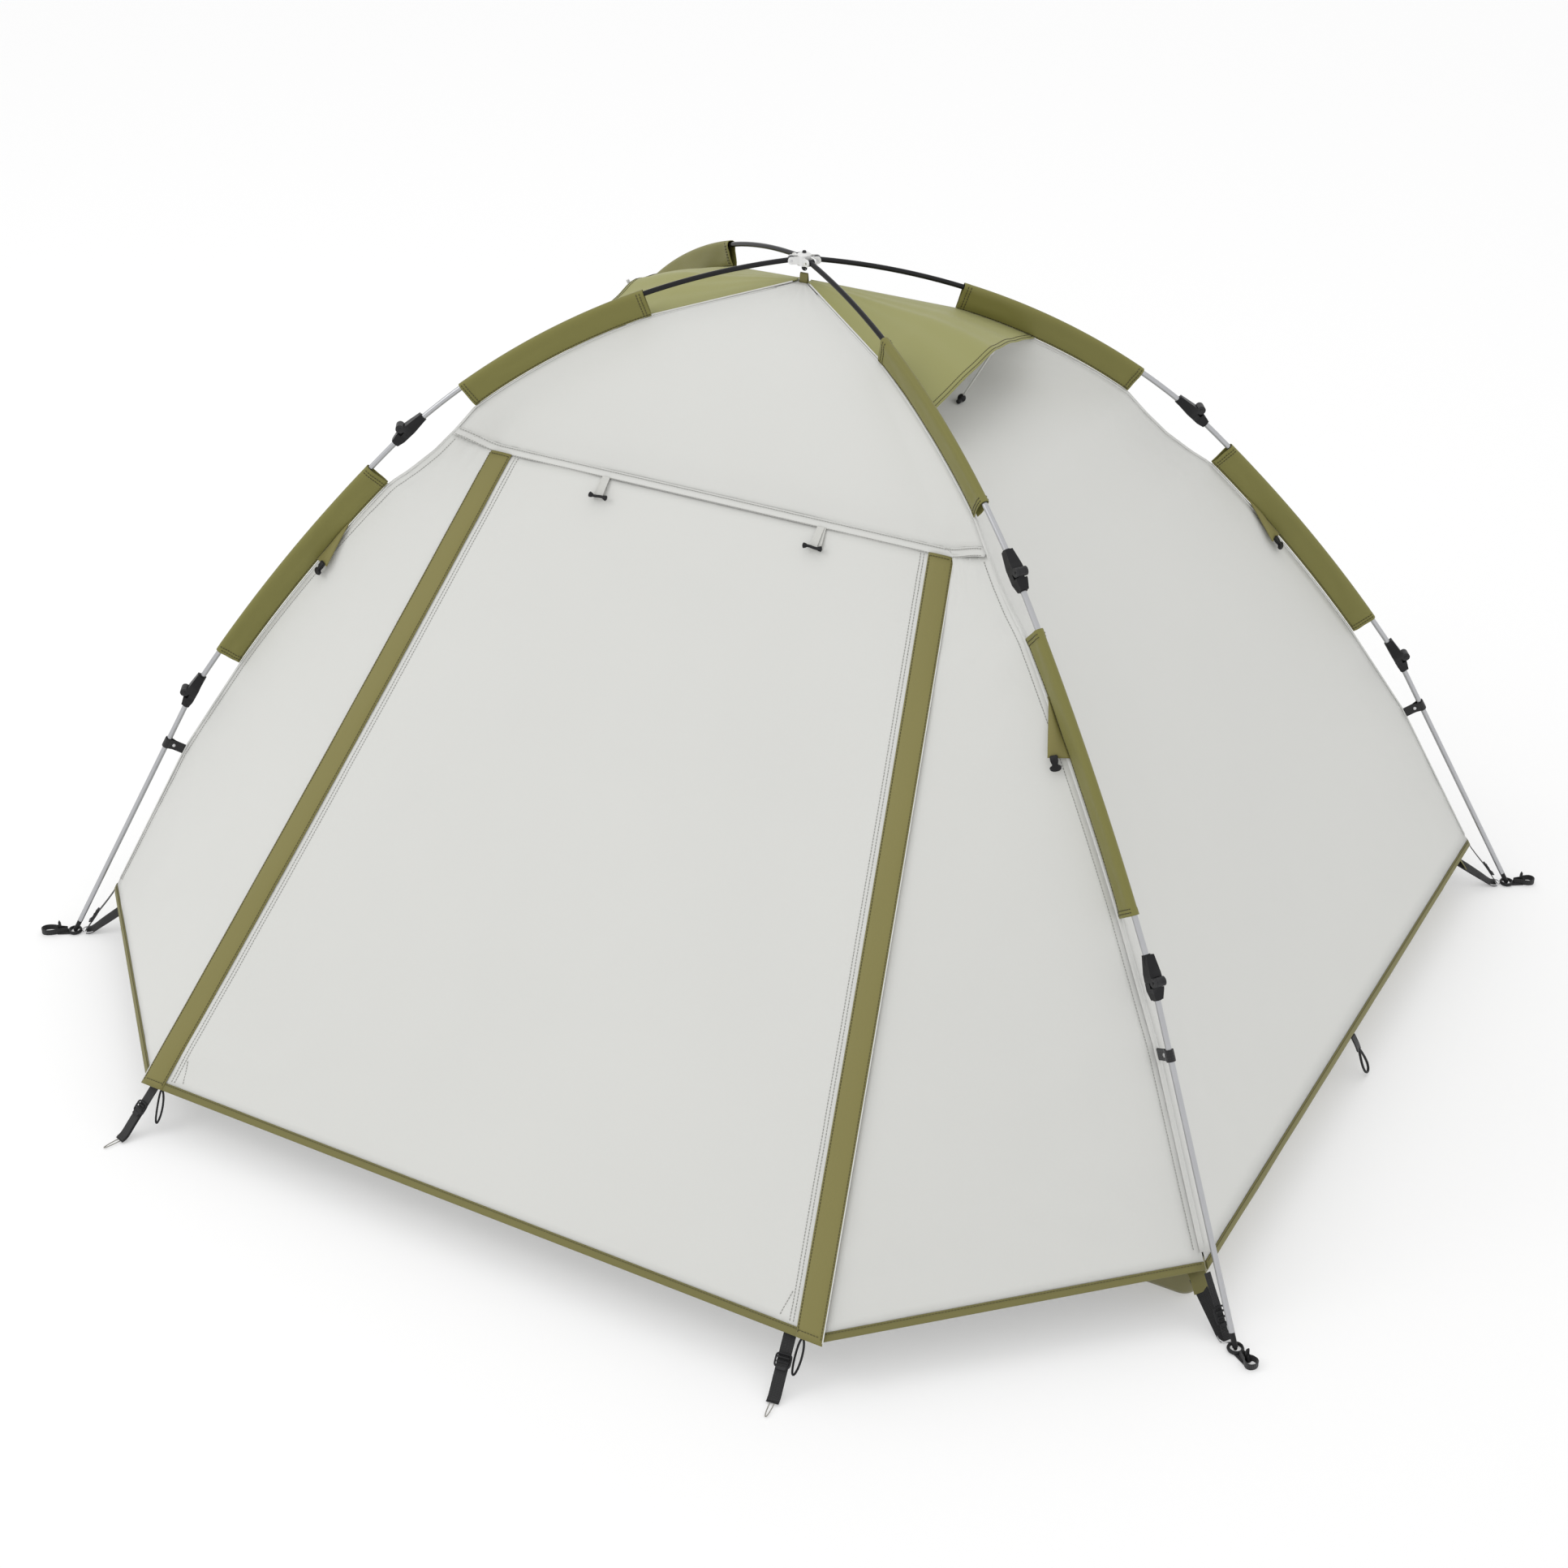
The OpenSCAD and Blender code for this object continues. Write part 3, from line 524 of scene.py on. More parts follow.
def bump(nodes, links, shader, height, strength, distance, before=None):
    node = nodes.new("ShaderNodeBump")
    node.inputs["Strength"].default_value = strength
    node.inputs["Distance"].default_value = distance
    links.new(height, node.inputs["Height"])
    if before is not None:
        links.new(before, node.inputs["Normal"])
    links.new(node.outputs["Normal"], shader.inputs["Normal"])
    return node.outputs["Normal"]


def cloth(name, colour, darker, pitch=0.0011, roughness=0.62, sheen=0.08, weave=0.25, soft=0.35):
    """Coated plain-weave cloth: threads both ways, a little mottle, and soft puckers."""
    material, nodes, links, shader = new_material(name)
    uv = nodes.new("ShaderNodeUVMap")
    uv.uv_map = "metres"
    place = nodes.new("ShaderNodeTexCoord").outputs["Object"]
    mottle = noise_of(nodes, links, place, 3.0, 4.0)
    grain = noise_of(nodes, links, place, 240.0, 2.0)
    factor = maths(nodes, links, "ADD", maths(nodes, links, "MULTIPLY", mottle, 0.7),
                   maths(nodes, links, "MULTIPLY", grain, 0.3))
    links.new(mix_colours(nodes, links, factor, darker, colour), shader.inputs["Base Color"])
    warp = bands(nodes, links, uv.outputs["UV"], "X", pitch)
    weft = bands(nodes, links, uv.outputs["UV"], "Y", pitch)
    threads = maths(nodes, links, "MULTIPLY", warp, weft)
    fine = bump(nodes, links, shader, threads, weave, 0.0002)
    bump(nodes, links, shader, noise_of(nodes, links, place, 22.0, 3.0), soft, 0.0012, fine)
    roughness_from(nodes, links, shader, grain, roughness - 0.07, roughness + 0.07)
    shader.inputs["Sheen Weight"].default_value = sheen
    shader.inputs["Sheen Roughness"].default_value = 0.45
    shader.inputs["Specular IOR Level"].default_value = 0.35
    return material


def webbing_material(name, colour, darker):
    """Ribbed polyester webbing: cross ribs with a pair of edge lines."""
    material, nodes, links, shader = new_material(name)
    uv = nodes.new("ShaderNodeUVMap")
    uv.uv_map = "metres"
    ribs = bands(nodes, links, uv.outputs["UV"], "Y", 0.0024)
    cords = bands(nodes, links, uv.outputs["UV"], "X", 0.0040)
    factor = maths(nodes, links, "MULTIPLY", ribs,
                   maths(nodes, links, "ADD", 0.5, maths(nodes, links, "MULTIPLY", cords, 0.5)))
    links.new(mix_colours(nodes, links, factor, darker, colour), shader.inputs["Base Color"])
    bump(nodes, links, shader, factor, 0.7, 0.0006)
    shader.inputs["Roughness"].default_value = 0.78
    shader.inputs["Sheen Weight"].default_value = 0.2
    return material


def plastic(name, colour, lighter, roughness, grain=260.0, relief=0.15, coat=0.0, shine=0.5):
    """Moulded plastic: fine texture, paler where it is rubbed along its edges."""
    material, nodes, links, shader = new_material(name)
    place = nodes.new("ShaderNodeTexCoord").outputs["Object"]
    speck = noise_of(nodes, links, place, grain, 3.0)
    geometry = nodes.new("ShaderNodeNewGeometry")
    edge = nodes.new("ShaderNodeMapRange")
    edge.inputs["From Min"].default_value = 0.54
    edge.inputs["From Max"].default_value = 0.66
    links.new(geometry.outputs["Pointiness"], edge.inputs["Value"])
    worn = maths(nodes, links, "MULTIPLY", edge.outputs["Result"], noise_of(nodes, links, place, 60.0, 4.0))
    links.new(mix_colours(nodes, links, worn, colour, lighter), shader.inputs["Base Color"])
    bump(nodes, links, shader, speck, relief, 0.0004)
    wear = noise_of(nodes, links, place, 35.0, 4.0)
    roughness_from(nodes, links, shader, wear, max(0.05, roughness - 0.08), roughness + 0.1)
    shader.inputs["Coat Weight"].default_value = coat
    shader.inputs["Specular IOR Level"].default_value = shine
    return material


def metal(name, colour, roughness, grain=900.0):
    """Drawn or rolled metal: faint scratches and smudges in its polish."""
    material, nodes, links, shader = new_material(name)
    place = nodes.new("ShaderNodeTexCoord").outputs["Object"]
    smudge = noise_of(nodes, links, place, 18.0, 5.0)
    scratch = noise_of(nodes, links, place, grain, 2.0)
    dull = tuple(0.86 * c for c in colour)
    links.new(mix_colours(nodes, links, smudge, dull, colour), shader.inputs["Base Color"])
    roughness_from(nodes, links, shader, smudge, roughness - 0.08, roughness + 0.12)
    bump(nodes, links, shader, scratch, 0.05, 0.0002)
    shader.inputs["Metallic"].default_value = 1.0
    return material


FLY = cloth("fly_cloth", (0.658, 0.660, 0.634), (0.620, 0.622, 0.598))
# Pale cloth for the piping cords, and for the painted light under the vent hoods that stands in for light
# shining through the olive cloth.
PIPING_AND_PAINTED_LIGHT_CLOTH = cloth("piping_and_painted_light_cloth", (0.700, 0.700, 0.675), (0.655, 0.655, 0.630))
OLIVE = cloth("olive_cloth", (0.222, 0.200, 0.064), (0.192, 0.172, 0.052), pitch=0.0013, roughness=0.58)
SLEEVE_CLOTH = cloth("sleeve_cloth", (0.198, 0.186, 0.047), (0.168, 0.158, 0.040), pitch=0.0013,
                     roughness=0.55)
HOOD_CLOTH = cloth("hood_cloth", (0.312, 0.308, 0.116), (0.282, 0.278, 0.102), pitch=0.0013, roughness=0.58)
HEM_TAPE = cloth("hem_tape", (0.190, 0.174, 0.058), (0.156, 0.142, 0.046), pitch=0.0016, weave=0.6)
FLOOR_CLOTH = cloth("floor_cloth", (0.200, 0.184, 0.084), (0.168, 0.154, 0.068), roughness=0.42, soft=0.6)
INNER_CLOTH = cloth("inner_cloth", (0.62, 0.62, 0.60), (0.54, 0.54, 0.52), pitch=0.0018, weave=0.5)
RIBBON_CLOTH = cloth("ribbon_cloth", (0.64, 0.64, 0.61), (0.52, 0.52, 0.49), pitch=0.0012, weave=0.6)
WEBBING = webbing_material("webbing", (0.019, 0.019, 0.020), (0.005, 0.005, 0.0055))
PALE_TAPE = webbing_material("pale_tape", (0.52, 0.51, 0.47), (0.28, 0.27, 0.24))
THREAD = cloth("thread_grey", (0.34, 0.34, 0.32), (0.24, 0.24, 0.22))
OLIVE_THREAD = cloth("thread_olive", (0.070, 0.060, 0.020), (0.05, 0.044, 0.016))
BLACK = plastic("black_plastic", (0.010, 0.010, 0.011), (0.045, 0.045, 0.047), 0.40, shine=0.22)
POLE_BLACK = plastic("black_pole", (0.007, 0.007, 0.008), (0.03, 0.03, 0.03), 0.16, relief=0.03, shine=0.26)
HUB_WHITE = plastic("hub_plastic", (0.70, 0.70, 0.69), (0.88, 0.88, 0.88), 0.22, relief=0.06, coat=0.3)
PROP_WHITE = plastic("prop_plastic", (0.58, 0.58, 0.55), (0.8, 0.8, 0.8), 0.30)
ALUMINIUM = metal("aluminium_tube", (0.50, 0.505, 0.52), 0.30)
STEEL = metal("pin_steel", (0.62, 0.62, 0.63), 0.24)
ZIP_METAL = metal("zip_metal", (0.26, 0.26, 0.27), 0.34)


def dress(node, material):
    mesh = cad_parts[node].data
    mesh.materials.clear()
    mesh.materials.append(material)


# ---- Fly ----

FLY_THICK = 0.0012
SIDE_ROWS = [
    PEAK_HOLE, 0.03, 0.05, 0.07, 0.09, 0.11, 0.13, 0.15, 0.17, 0.19, 0.21, 0.23, 0.25, RIDGE_START_R,
    0.28, 0.30, 0.32, 0.34, 0.36, 0.38, 0.40, 0.42, 0.44, 0.46, 0.48, 0.50, 0.52, 0.54,
    GAP_R[0], 0.585, 0.60, 0.62, 0.64, 0.66, 0.685, 0.705, GAP_R[-1],
] + [GAP_R[-1] + (CORNER_R - HEM / 2 - GAP_R[-1]) * k / 34 for k in range(1, 35)]


def side_panel(sx):
    name = "fly_side_" + hand_of(sx)
    columns = np.linspace(-1, 1, 61)
    grid = np.array([[side(r, v) for v in columns] for r in SIDE_ROWS])
    hold = np.array([[min(1, 8 * (1 - abs(v)) + 0.1) * min(1, 10 * (SIDE_ROWS[-1] - r) + 0.06)
                      for v in columns] for r in SIDE_ROWS])
    folded = grid * np.array([1, -1, 1])
    grid = np.where(grid[:, :, 1:2] < 0, ruffled(grid, sx, -1, hold),
                    ruffled(folded, sx, 1, hold) * np.array([1, -1, 1]))
    grid = quarter(grid, sx, -1)
    return cloth_piece(name, grid, FLY_THICK, FLY, "fly_cloth", "stretched", ["fly_hem"])


def top_panel(sy):
    name = "fly_top_" + end_of(sy)
    rows = np.linspace(PEAK_HOLE, SEAM_R, 41)
    columns = np.linspace(-1, 1, 61)
    grid = np.array([[top(r, v) for v in columns] for r in rows])
    hold = np.array([[min(1, 8 * (1 - abs(v)) + 0.1) for v in columns] for r in rows])
    grid = ruffled_end(grid, sy, hold)
    return cloth_piece(name, grid, FLY_THICK, FLY, "fly_cloth", "stretched", ["fly_hem"])


HEM_SHARE = HEM / DOOR_LENGTH


def wing_panel(sx, sy, leg):
    rows = np.linspace(0, 1 - HEM_SHARE / 2, 57)
    columns = np.linspace(0, 1, 23)
    grid = np.array([[wing(u, v) for v in columns] for u in rows])
    hold = np.array([[min(1, 6 * min(v, 1 - v) + 0.1) * min(1, 12 * (rows[-1] - u) + 0.06) for v in columns]
                     for u in rows])
    grid = quarter(ruffled(grid, sx, sy, hold), sx, sy)
    return cloth_piece("fly_wing_" + leg, grid, FLY_THICK, FLY, "fly_cloth", "stretched", ["fly_hem"])


def door_panel(sy):
    name = "door_panel_" + end_of(sy)
    rows = np.linspace(0.002, 1 - HEM_SHARE / 2, 61)
    columns = np.linspace(-1, 1, 71)
    grid = np.array([[door(u, v * (door_half(u) - ZIP_GAP / 2)) for v in columns] for u in rows])
    hold = np.array([[min(1, 10 * (1 - abs(v)) + 0.15) * min(1, 14 * (rows[-1] - u) + 0.06)
                      for v in columns] for u in rows])
    grid = ruffled_end(grid, sy, hold)
    return cloth_piece(name, grid, FLY_THICK, FLY, "fly_cloth", "hung", ["fly_top_" + end_of(sy)],
                       "door_" + end_of(sy))


def crown(t, rise):
    """Height of a soft strip's rounded back at share t of its width."""
    return rise * (1 - abs(2 * t) ** 3)


def storm_flap(sx, sy, leg):
    """The olive strip over a zip, with its stitched edges."""
    rows = np.linspace(0.004, 1, 80)
    columns = np.linspace(-0.5, 0.5, 11)
    grid = []
    for u in rows:
        middle = door_half(u) - 0.004
        puff = 0.0008 * math.sin(21 * u) + 0.0006 * math.sin(47 * u + 1)
        grid.append([
            door(u, middle + t * FLAP_WIDTH) + DOOR_OUT * (FLAP_LIFT
                                                           + crown(t, FLAP_RISE + puff)) for t in columns
        ])
    grid = quarter(grid, sx, sy)
    return cloth_piece("storm_flap_" + leg, grid, 0.0012, OLIVE, "olive_cloth", "hung",
                       ["door_panel_" + end_of(sy)], "door_" + end_of(sy))


def bound_edge(name, edge, inward, width, body):
    """A folded tape that binds an edge: over the outside, round the rim and back under."""
    edge = np.asarray(edge, float)
    inward = inward / np.linalg.norm(inward, axis=1, keepdims=True)
    along = np.gradient(edge, axis=0)
    out = np.cross(along, inward)
    out /= np.linalg.norm(out, axis=1, keepdims=True)
    if np.sum(out * (edge - INSIDE)) < 0:
        out = -out
    profile = [(1.0, 0.9), (0.8, 1.5), (0.45, 1.7), (0.12, 1.5), (0.0, 0.4), (0.0, -0.8), (0.12, -1.7),
               (0.5, -2.0), (1.0, -1.6)]
    unit = 0.001
    grid = np.stack([edge + inward * width * a + out * unit * b for a, b in profile], axis=1)
    core = edge.mean(axis=0) + inward.mean(axis=0) * width / 2
    return cloth_piece(name, grid, 0.0005, HEM_TAPE, "hem_tape", "folded", ["fly_side_right"], body,
                       away_from=core)


def hem_of(surface, params, back):
    """Edge points and inward directions of a surface's rim: back steps a little up the surface."""
    edge = np.array([surface(*p) for p in params])
    inner = np.array([surface(*back(p)) for p in params])
    return edge, inner - edge


def fly_hems():
    pieces = []
    for sx in (1, -1):
        params = [(CORNER_R, v) for v in np.linspace(-1, 1, 61)]
        edge, inward = hem_of(side, params, lambda p: (p[0] - 0.02, p[1]))
        pieces.append(bound_edge("hem_side_" + hand_of(sx),
                                 quarter(edge, sx, -1), quarter(inward, sx, -1), HEM, "canopy"))
    for leg, (sx, sy) in LEGS.items():
        params = [(1, v) for v in np.linspace(0, 1, 31)]
        edge, inward = hem_of(wing, params, lambda p: (p[0] - 0.02, p[1]))
        pieces.append(bound_edge("hem_wing_" + leg, quarter(edge, sx, sy), quarter(inward, sx, sy), HEM,
                                 "canopy"))
    for sy, end in ((-1, "front"), (1, "rear")):
        half = DOOR_FOOT_HALF - ZIP_GAP / 2
        params = [(1, x) for x in np.linspace(-half, half, 81)]
        edge, inward = hem_of(door, params, lambda p: (p[0] - 0.02, p[1]))
        pieces.append(bound_edge("hem_door_" + end, quarter(edge, 1, sy), quarter(inward, 1, sy), HEM,
                                 "door_" + end))
    return pieces


def vent_hood(sx):
    rows = np.linspace(0, 1, 45)
    columns = np.linspace(-1, 1, 61)
    grid = np.array([[hood(u, v) for v in columns] for u in rows])
    outward = normals_of(grid, INSIDE)
    for i, u in enumerate(rows):
        for j, v in enumerate(columns):
            pull = 0.0022 * noise.noise(Vector(grid[i, j]) * 9.0 + Vector((sx, 2, 3)))
            pull += 0.0016 * math.sin(16 * v + 3 * u) * u * (1 - abs(v))
            grid[i, j] += outward[i, j] * pull * min(1, 6 * (1 - abs(v)))
            if sx < 0:
                grid[i, j, 0] *= 1 - 0.06 * u * (1 - abs(v) ** 1.25)
    # Painted light: a pale sheet just inside the hood stands in for daylight shining through the olive cloth
    # onto its underside.
    painted_light_underside = quarter((grid - outward * 0.0018)[4:44, 2:59], sx, -1)
    grid = quarter(grid, sx, -1)
    hand = hand_of(sx)
    cloth_piece("hood_painted_light_underside_" + hand, painted_light_underside, 0.0006, PIPING_AND_PAINTED_LIGHT_CLOTH, "olive_cloth", "stretched",
                ["vent_hood_" + hand])
    return cloth_piece("vent_hood_" + hand, grid, 0.0012, HOOD_CLOTH, "olive_cloth", "stretched",
                       ["fly_side_" + hand])


def fly():
    sides = [side_panel(sx) for sx in (1, -1)]
    tops = [top_panel(sy) for sy in (-1, 1)]
    wings = [wing_panel(sx, sy, leg) for leg, (sx, sy) in LEGS.items()]
    doors = {sy: door_panel(sy) for sy in (-1, 1)}
    flaps = [storm_flap(sx, sy, leg) for leg, (sx, sy) in LEGS.items()]
    hems = fly_hems()
    hoods = [vent_hood(sx) for sx in (1, -1)]
    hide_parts("side_panels")
    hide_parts("top_panels")
    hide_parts("wing_panels")
    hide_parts("front_door")
    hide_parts("rear_door")
    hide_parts("front_flaps")
    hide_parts("rear_flaps")
    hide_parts("fly_hem")
    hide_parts("vent_hoods")


# ---- Sleeves ----


def leg_frame(leg):
    """Radial and sideways unit vectors of a leg."""
    angles = {"fr": -LEG_AZIMUTH, "rr": LEG_AZIMUTH, "rl": 180 - LEG_AZIMUTH, "fl": 180 + LEG_AZIMUTH}
    a = angles[leg]
    return np.array([cos(a), sin(a), 0]), np.array([-sin(a), cos(a), 0])


UP = np.array([0, 0, 1.0])
SLEEVE_SECTION = [
    (-0.0395, 0.0010), (-0.0370, 0.0016), (-0.0320, 0.0030), (-0.0260, 0.0042),
    (-0.0190, 0.0050), (-0.0120, 0.0058), (-0.0060, 0.0068), (0.0000, 0.0072),
    (0.0040, 0.0062), (0.0066, 0.0036), (0.0075, 0.0000),
]


def pole_sleeve(kind, leg, centre, radius, slope, span):
    """A flat tube of cloth with the pole at its outer edge and its seam on the fly."""
    radial, sideways = leg_frame(leg)
    length = span[1] - span[0]
    rows = sorted(set([0, 0.002, 0.010, 0.012] + list(np.linspace(0.02, length - 0.02, 46)) + [
        length - 0.012, length - 0.010, length - 0.002, length]))
    section = SLEEVE_SECTION + [(z, -y) for z, y in reversed(SLEEVE_SECTION[:-1])]
    grid = []
    for s in rows:
        angle = slope - math.degrees((span[0] + s) / radius)
        r, z = arc_point(centre, radius, angle)
        middle = radial * r + UP * z
        out = radial * -sin(angle) + UP * cos(angle)
        hem = 0.0007 if min(s, length - s) < 0.011 else 0
        near = math.exp(-min(s, length - s) / 0.03)
        ring = []
        for d, y in section:
            side_sign = 1 if y >= 0 else -1
            flute = 0.0016 * noise.noise(Vector((s * 16, d * 60,
                                                 side_sign * 3 + LEGS[leg][0] + 5 * LEGS[leg][1])))
            flute += 0.0011 * math.sin(95 * s + 70 * d + side_sign) * near
            flute *= max(0, min(1, (0.004 - d) / 0.012)) * max(0, min(1, (d + 0.039) / 0.006))
            gape = 0.0022 * near * max(0, -d) / 0.04
            ring.append(middle + out * d + sideways * (y + side_sign * (hem + flute + gape)))
        grid.append(ring)
    grid = np.array(grid)
    core = grid.mean(axis=1, keepdims=True)
    outward = normals_of(grid, core)
    name = f"{kind}_sleeve_cloth_{leg}"
    piece = shell(name, grid, 0.0008, SLEEVE_CLOTH, closed=False, normals=outward)
    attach(piece, f"{kind}_leg_{leg}")
    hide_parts(f"{kind}_sleeve_{leg}")
    declare(piece, grid)
    return piece


def sleeves():
    for leg in LEGS:
        pole_sleeve("upper", leg, UPPER_CENTRE, UPPER_RADIUS, UPPER_SLOPE, UPPER_SLEEVE)
        pole_sleeve("mid", leg, MID_CENTRE, MID_RADIUS, MID_SLOPE, MID_SLEEVE)


# ---- Floor and inner tent ----


def inner_ridge(r):
    return ridge(r) - 0.052 - 0.062 * hump(r, VENT_R, VENT_SPREAD)


def inner_tent():
    rows = [0.06, 0.11, 0.16, 0.21, 0.262, 0.33, 0.40, 0.47, 0.54, 0.64, 0.76, 0.88, 1.016, 1.134, 1.235]
    rows = sorted(rows + [(a + b) / 2 for a, b in zip(rows, rows[1:])])
    columns = np.linspace(-1, 1, 41)
    pieces = []
    for sx in (1, -1):
        grid = quarter([[np.array([COS_LEG * r - 0.0225 - 0.01 * sink(v, 2), v * (SIN_LEG * r - 0.008),
                                   inner_ridge(r)])
                         for v in columns] for r in rows], sx, -1)
        piece = shell("inner_side_" + hand_of(sx), grid, 0.0009, INNER_CLOTH)
        declare(piece, grid)
        pieces.append(piece)
    for sy in (-1, 1):
        grid = quarter([[np.array([v * (COS_LEG * r - 0.0305), 0.006 - SIN_LEG * r, inner_ridge(r) - 0.014])
                         for v in columns] for r in rows], 1, sy)
        piece = shell("inner_end_" + end_of(sy), grid, 0.0009, INNER_CLOTH)
        declare(piece, grid)
        pieces.append(piece)
    for piece in pieces:
        fly_piece(piece)
    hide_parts("inner_tent")


def rounded_outline(half_x, half_y, corner, count=16):
    """Points round a rectangle with rounded corners."""
    points = []
    for sx, sy, start in ((1, 1, 0), (-1, 1, 90), (-1, -1, 180), (1, -1, 270)):
        for k in range(count + 1):
            a = start + 90 * k / count
            points.append((sx * (half_x - corner) + corner * cos(a),
                           sy * (half_y - corner) + corner * sin(a)))
    filled = []
    for (x0, y0), (x1, y1) in zip(points, points[1:] + points[:1]):
        steps = max(1, int(math.hypot(x1 - x0, y1 - y0) / 0.03))
        filled += [(x0 + (x1 - x0) * k / steps, y0 + (y1 - y0) * k / steps) for k in range(steps)]
    return filled


def groundsheet():
    """A bathtub floor: flat on the ground with its edge turned up."""
    half_x, half_y = FLOOR_LENGTH / 2, FLOOR_WIDTH / 2
    outline = rounded_outline(half_x, half_y, 0.022)
    rings = []
    stations = [(0.30, 0.002), (0.10, 0.0022), (0.012, 0.002), (0.003, 0.004), (0.0005, 0.011),
                (0.0, 0.030), (0.0, 0.050), (0.001, FLOOR_EDGE - 0.002)]
    for inset, height in stations:
        ring = []
        for x, y in outline:
            ripple = 0.0022 * noise.noise(Vector((x * 9, y * 9, 3))) * min(1, height / 0.03)
            top_dip = 0.004 * noise.noise(Vector((x * 5, y * 5, 8))) if height > 0.045 else 0
            scale_x = 1 - (inset - ripple + 0.0015) / half_x
            scale_y = 1 - (inset - ripple + 0.0015) / half_y
            ring.append((x * scale_x, y * scale_y, height + top_dip))
        rings.append(ring)
    grid = np.array(rings)
    grid = np.concatenate([grid, grid[:, :1]], axis=1)
    flat_in = normals_of(grid, np.array([0, 0, 0.3]))
    piece = shell("groundsheet_cloth", grid, 0.001, FLOOR_CLOTH, normals=-flat_in)
    floor_grid = np.array([[(x, y, 0.0022 + 0.0006 * noise.noise(Vector((x * 6, y * 6, 1))))
                            for x in np.linspace(-half_x * 0.93, half_x * 0.93, 61)]
                           for y in np.linspace(-half_y * 0.90, half_y * 0.90, 41)])
    floor = shell("groundsheet_floor", floor_grid, 0.001, FLOOR_CLOTH, away_from=np.array([0, 0, -1.0]))
    for part, shape in ((piece, grid), (floor, floor_grid)):
        fly_piece(part)
        declare(part, shape)
    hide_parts("groundsheet")


# ---- Hard parts that keep their model's shape ----


def hard_parts():
    for leg in LEGS:
        dress("upper_pole_" + leg, POLE_BLACK)
        for name in ("upper_tube_", "mid_pole_", "lower_pole_"):
            dress(name + leg, ALUMINIUM)
        for name in ("upper_elbow_", "mid_elbows_", "lower_fittings_"):
            dress(name + leg, BLACK)
        dress("zip_slider_" + leg, ZIP_METAL)
    dress("hub_body", HUB_WHITE)
    dress("hub_pins", STEEL)
    dress("peak_hook", BLACK)


# ---- Seams and stitches ----

STITCH_PITCH = 0.005
STITCH_LENGTH = 0.0034
STITCH_WIDTH = 0.0010


def on_grid(name, rows, columns, away_from=INSIDE):
    """Points and outward directions on a cloth's grid, at shares of its rows and columns."""
    grid = GRIDS[name]
    outward = normals_of(grid, away_from)
    rows, columns = np.broadcast_arrays(np.asarray(rows, float), np.asarray(columns, float))
    i = np.clip(rows * (grid.shape[0] - 1), 0, grid.shape[0] - 1.001)
    j = np.clip(columns * (grid.shape[1] - 1), 0, grid.shape[1] - 1.001)
    a, b = i.astype(int), j.astype(int)
    f, g = (i - a)[:, None], (j - b)[:, None]

    def blend(values):
        low = values[a, b] * (1 - g) + values[a, b + 1] * g
        high = values[a + 1, b] * (1 - g) + values[a + 1, b + 1] * g
        return low * (1 - f) + high * f

    return blend(grid), blend(outward)


def stitches(name, rows, material, proud=0.0004, width=STITCH_WIDTH):
    """Rows of stitches, each given by points and the outward directions there."""
    points, faces = [], []
    signs = [(-1, -1, -1), (1, -1, -1), (1, 1, -1), (-1, 1, -1), (-1, -1, 1), (1, -1, 1), (1, 1, 1),
             (-1, 1, 1)]
    sides = [(3, 2, 1, 0), (4, 5, 6, 7), (0, 1, 5, 4), (1, 2, 6, 5), (2, 3, 7, 6), (3, 0, 4, 7)]
    for path, outward in rows:
        run = np.concatenate([[0], np.cumsum(np.linalg.norm(np.diff(path, axis=0), axis=1))])
        for k in range(int(run[-1] / STITCH_PITCH)):
            s = (k + 0.5) * STITCH_PITCH
            centre, ahead, out = (
                np.array([np.interp(q, run, values[:, axis]) for axis in range(3)])
                for q, values in ((s, path), (s + 0.001, path), (s, outward)))
            along = ahead - centre
            if np.linalg.norm(along) < 1e-9:
                continue
            along /= np.linalg.norm(along)
            out /= np.linalg.norm(out)
            across = np.cross(out, along)
            start = len(points)
            for x, y, z in signs:
                points.append(centre + along * x * STITCH_LENGTH / 2 + across * y * width / 2 + out
                              * (proud + z * 0.00035))
            faces += [tuple(start + v for v in side_face) for side_face in sides]
    return mesh_from(name, points, faces, material, smooth=False)


SEAM_REACH = 0.0036
SEAM_THICK = 0.0008


def ridge_strip(leg):
    """The flat-felled seam along a leg's edge, where a side meets the doors' end."""
    sx, sy = LEGS[leg]
    grid = []
    for r in list(np.linspace(0.05, 0.56, 20)) + list(np.linspace(GAP_R[0], CORNER_R - HEM, 60)):
        in_side = side(r, -(1 - SEAM_REACH / (SIN_LEG * r)))
        if r < SEAM_R:
            in_end = top(r, 1 - SEAM_REACH / (COS_LEG * r))
        else:
            u = (r - SEAM_R) / (CORNER_R - SEAM_R)
            in_end = wing(u, 1 - SEAM_REACH / max(0.02, np.linalg.norm(wing(u, 1) - wing(u, 0))))
        crest = np.array([COS_LEG * r, -SIN_LEG * r, ridge(r) + 0.0006])
        lift = crest - (in_side + in_end) / 2
        lift = lift / max(np.linalg.norm(lift), 1e-6) * 0.0008 + np.array([COS_LEG, -SIN_LEG, 1.0]) * 0.0002
        a, c = in_side + lift, in_end + lift
        grid.append([a, (a + crest) / 2 + lift * 0.2, crest, (crest + c) / 2 + lift * 0.2, c])
    grid = quarter(grid, sx, sy)
    return cloth_piece("ridge_seam_" + leg, grid, SEAM_THICK, FLY, "fly_cloth", "stretched", ["fly_hem"])


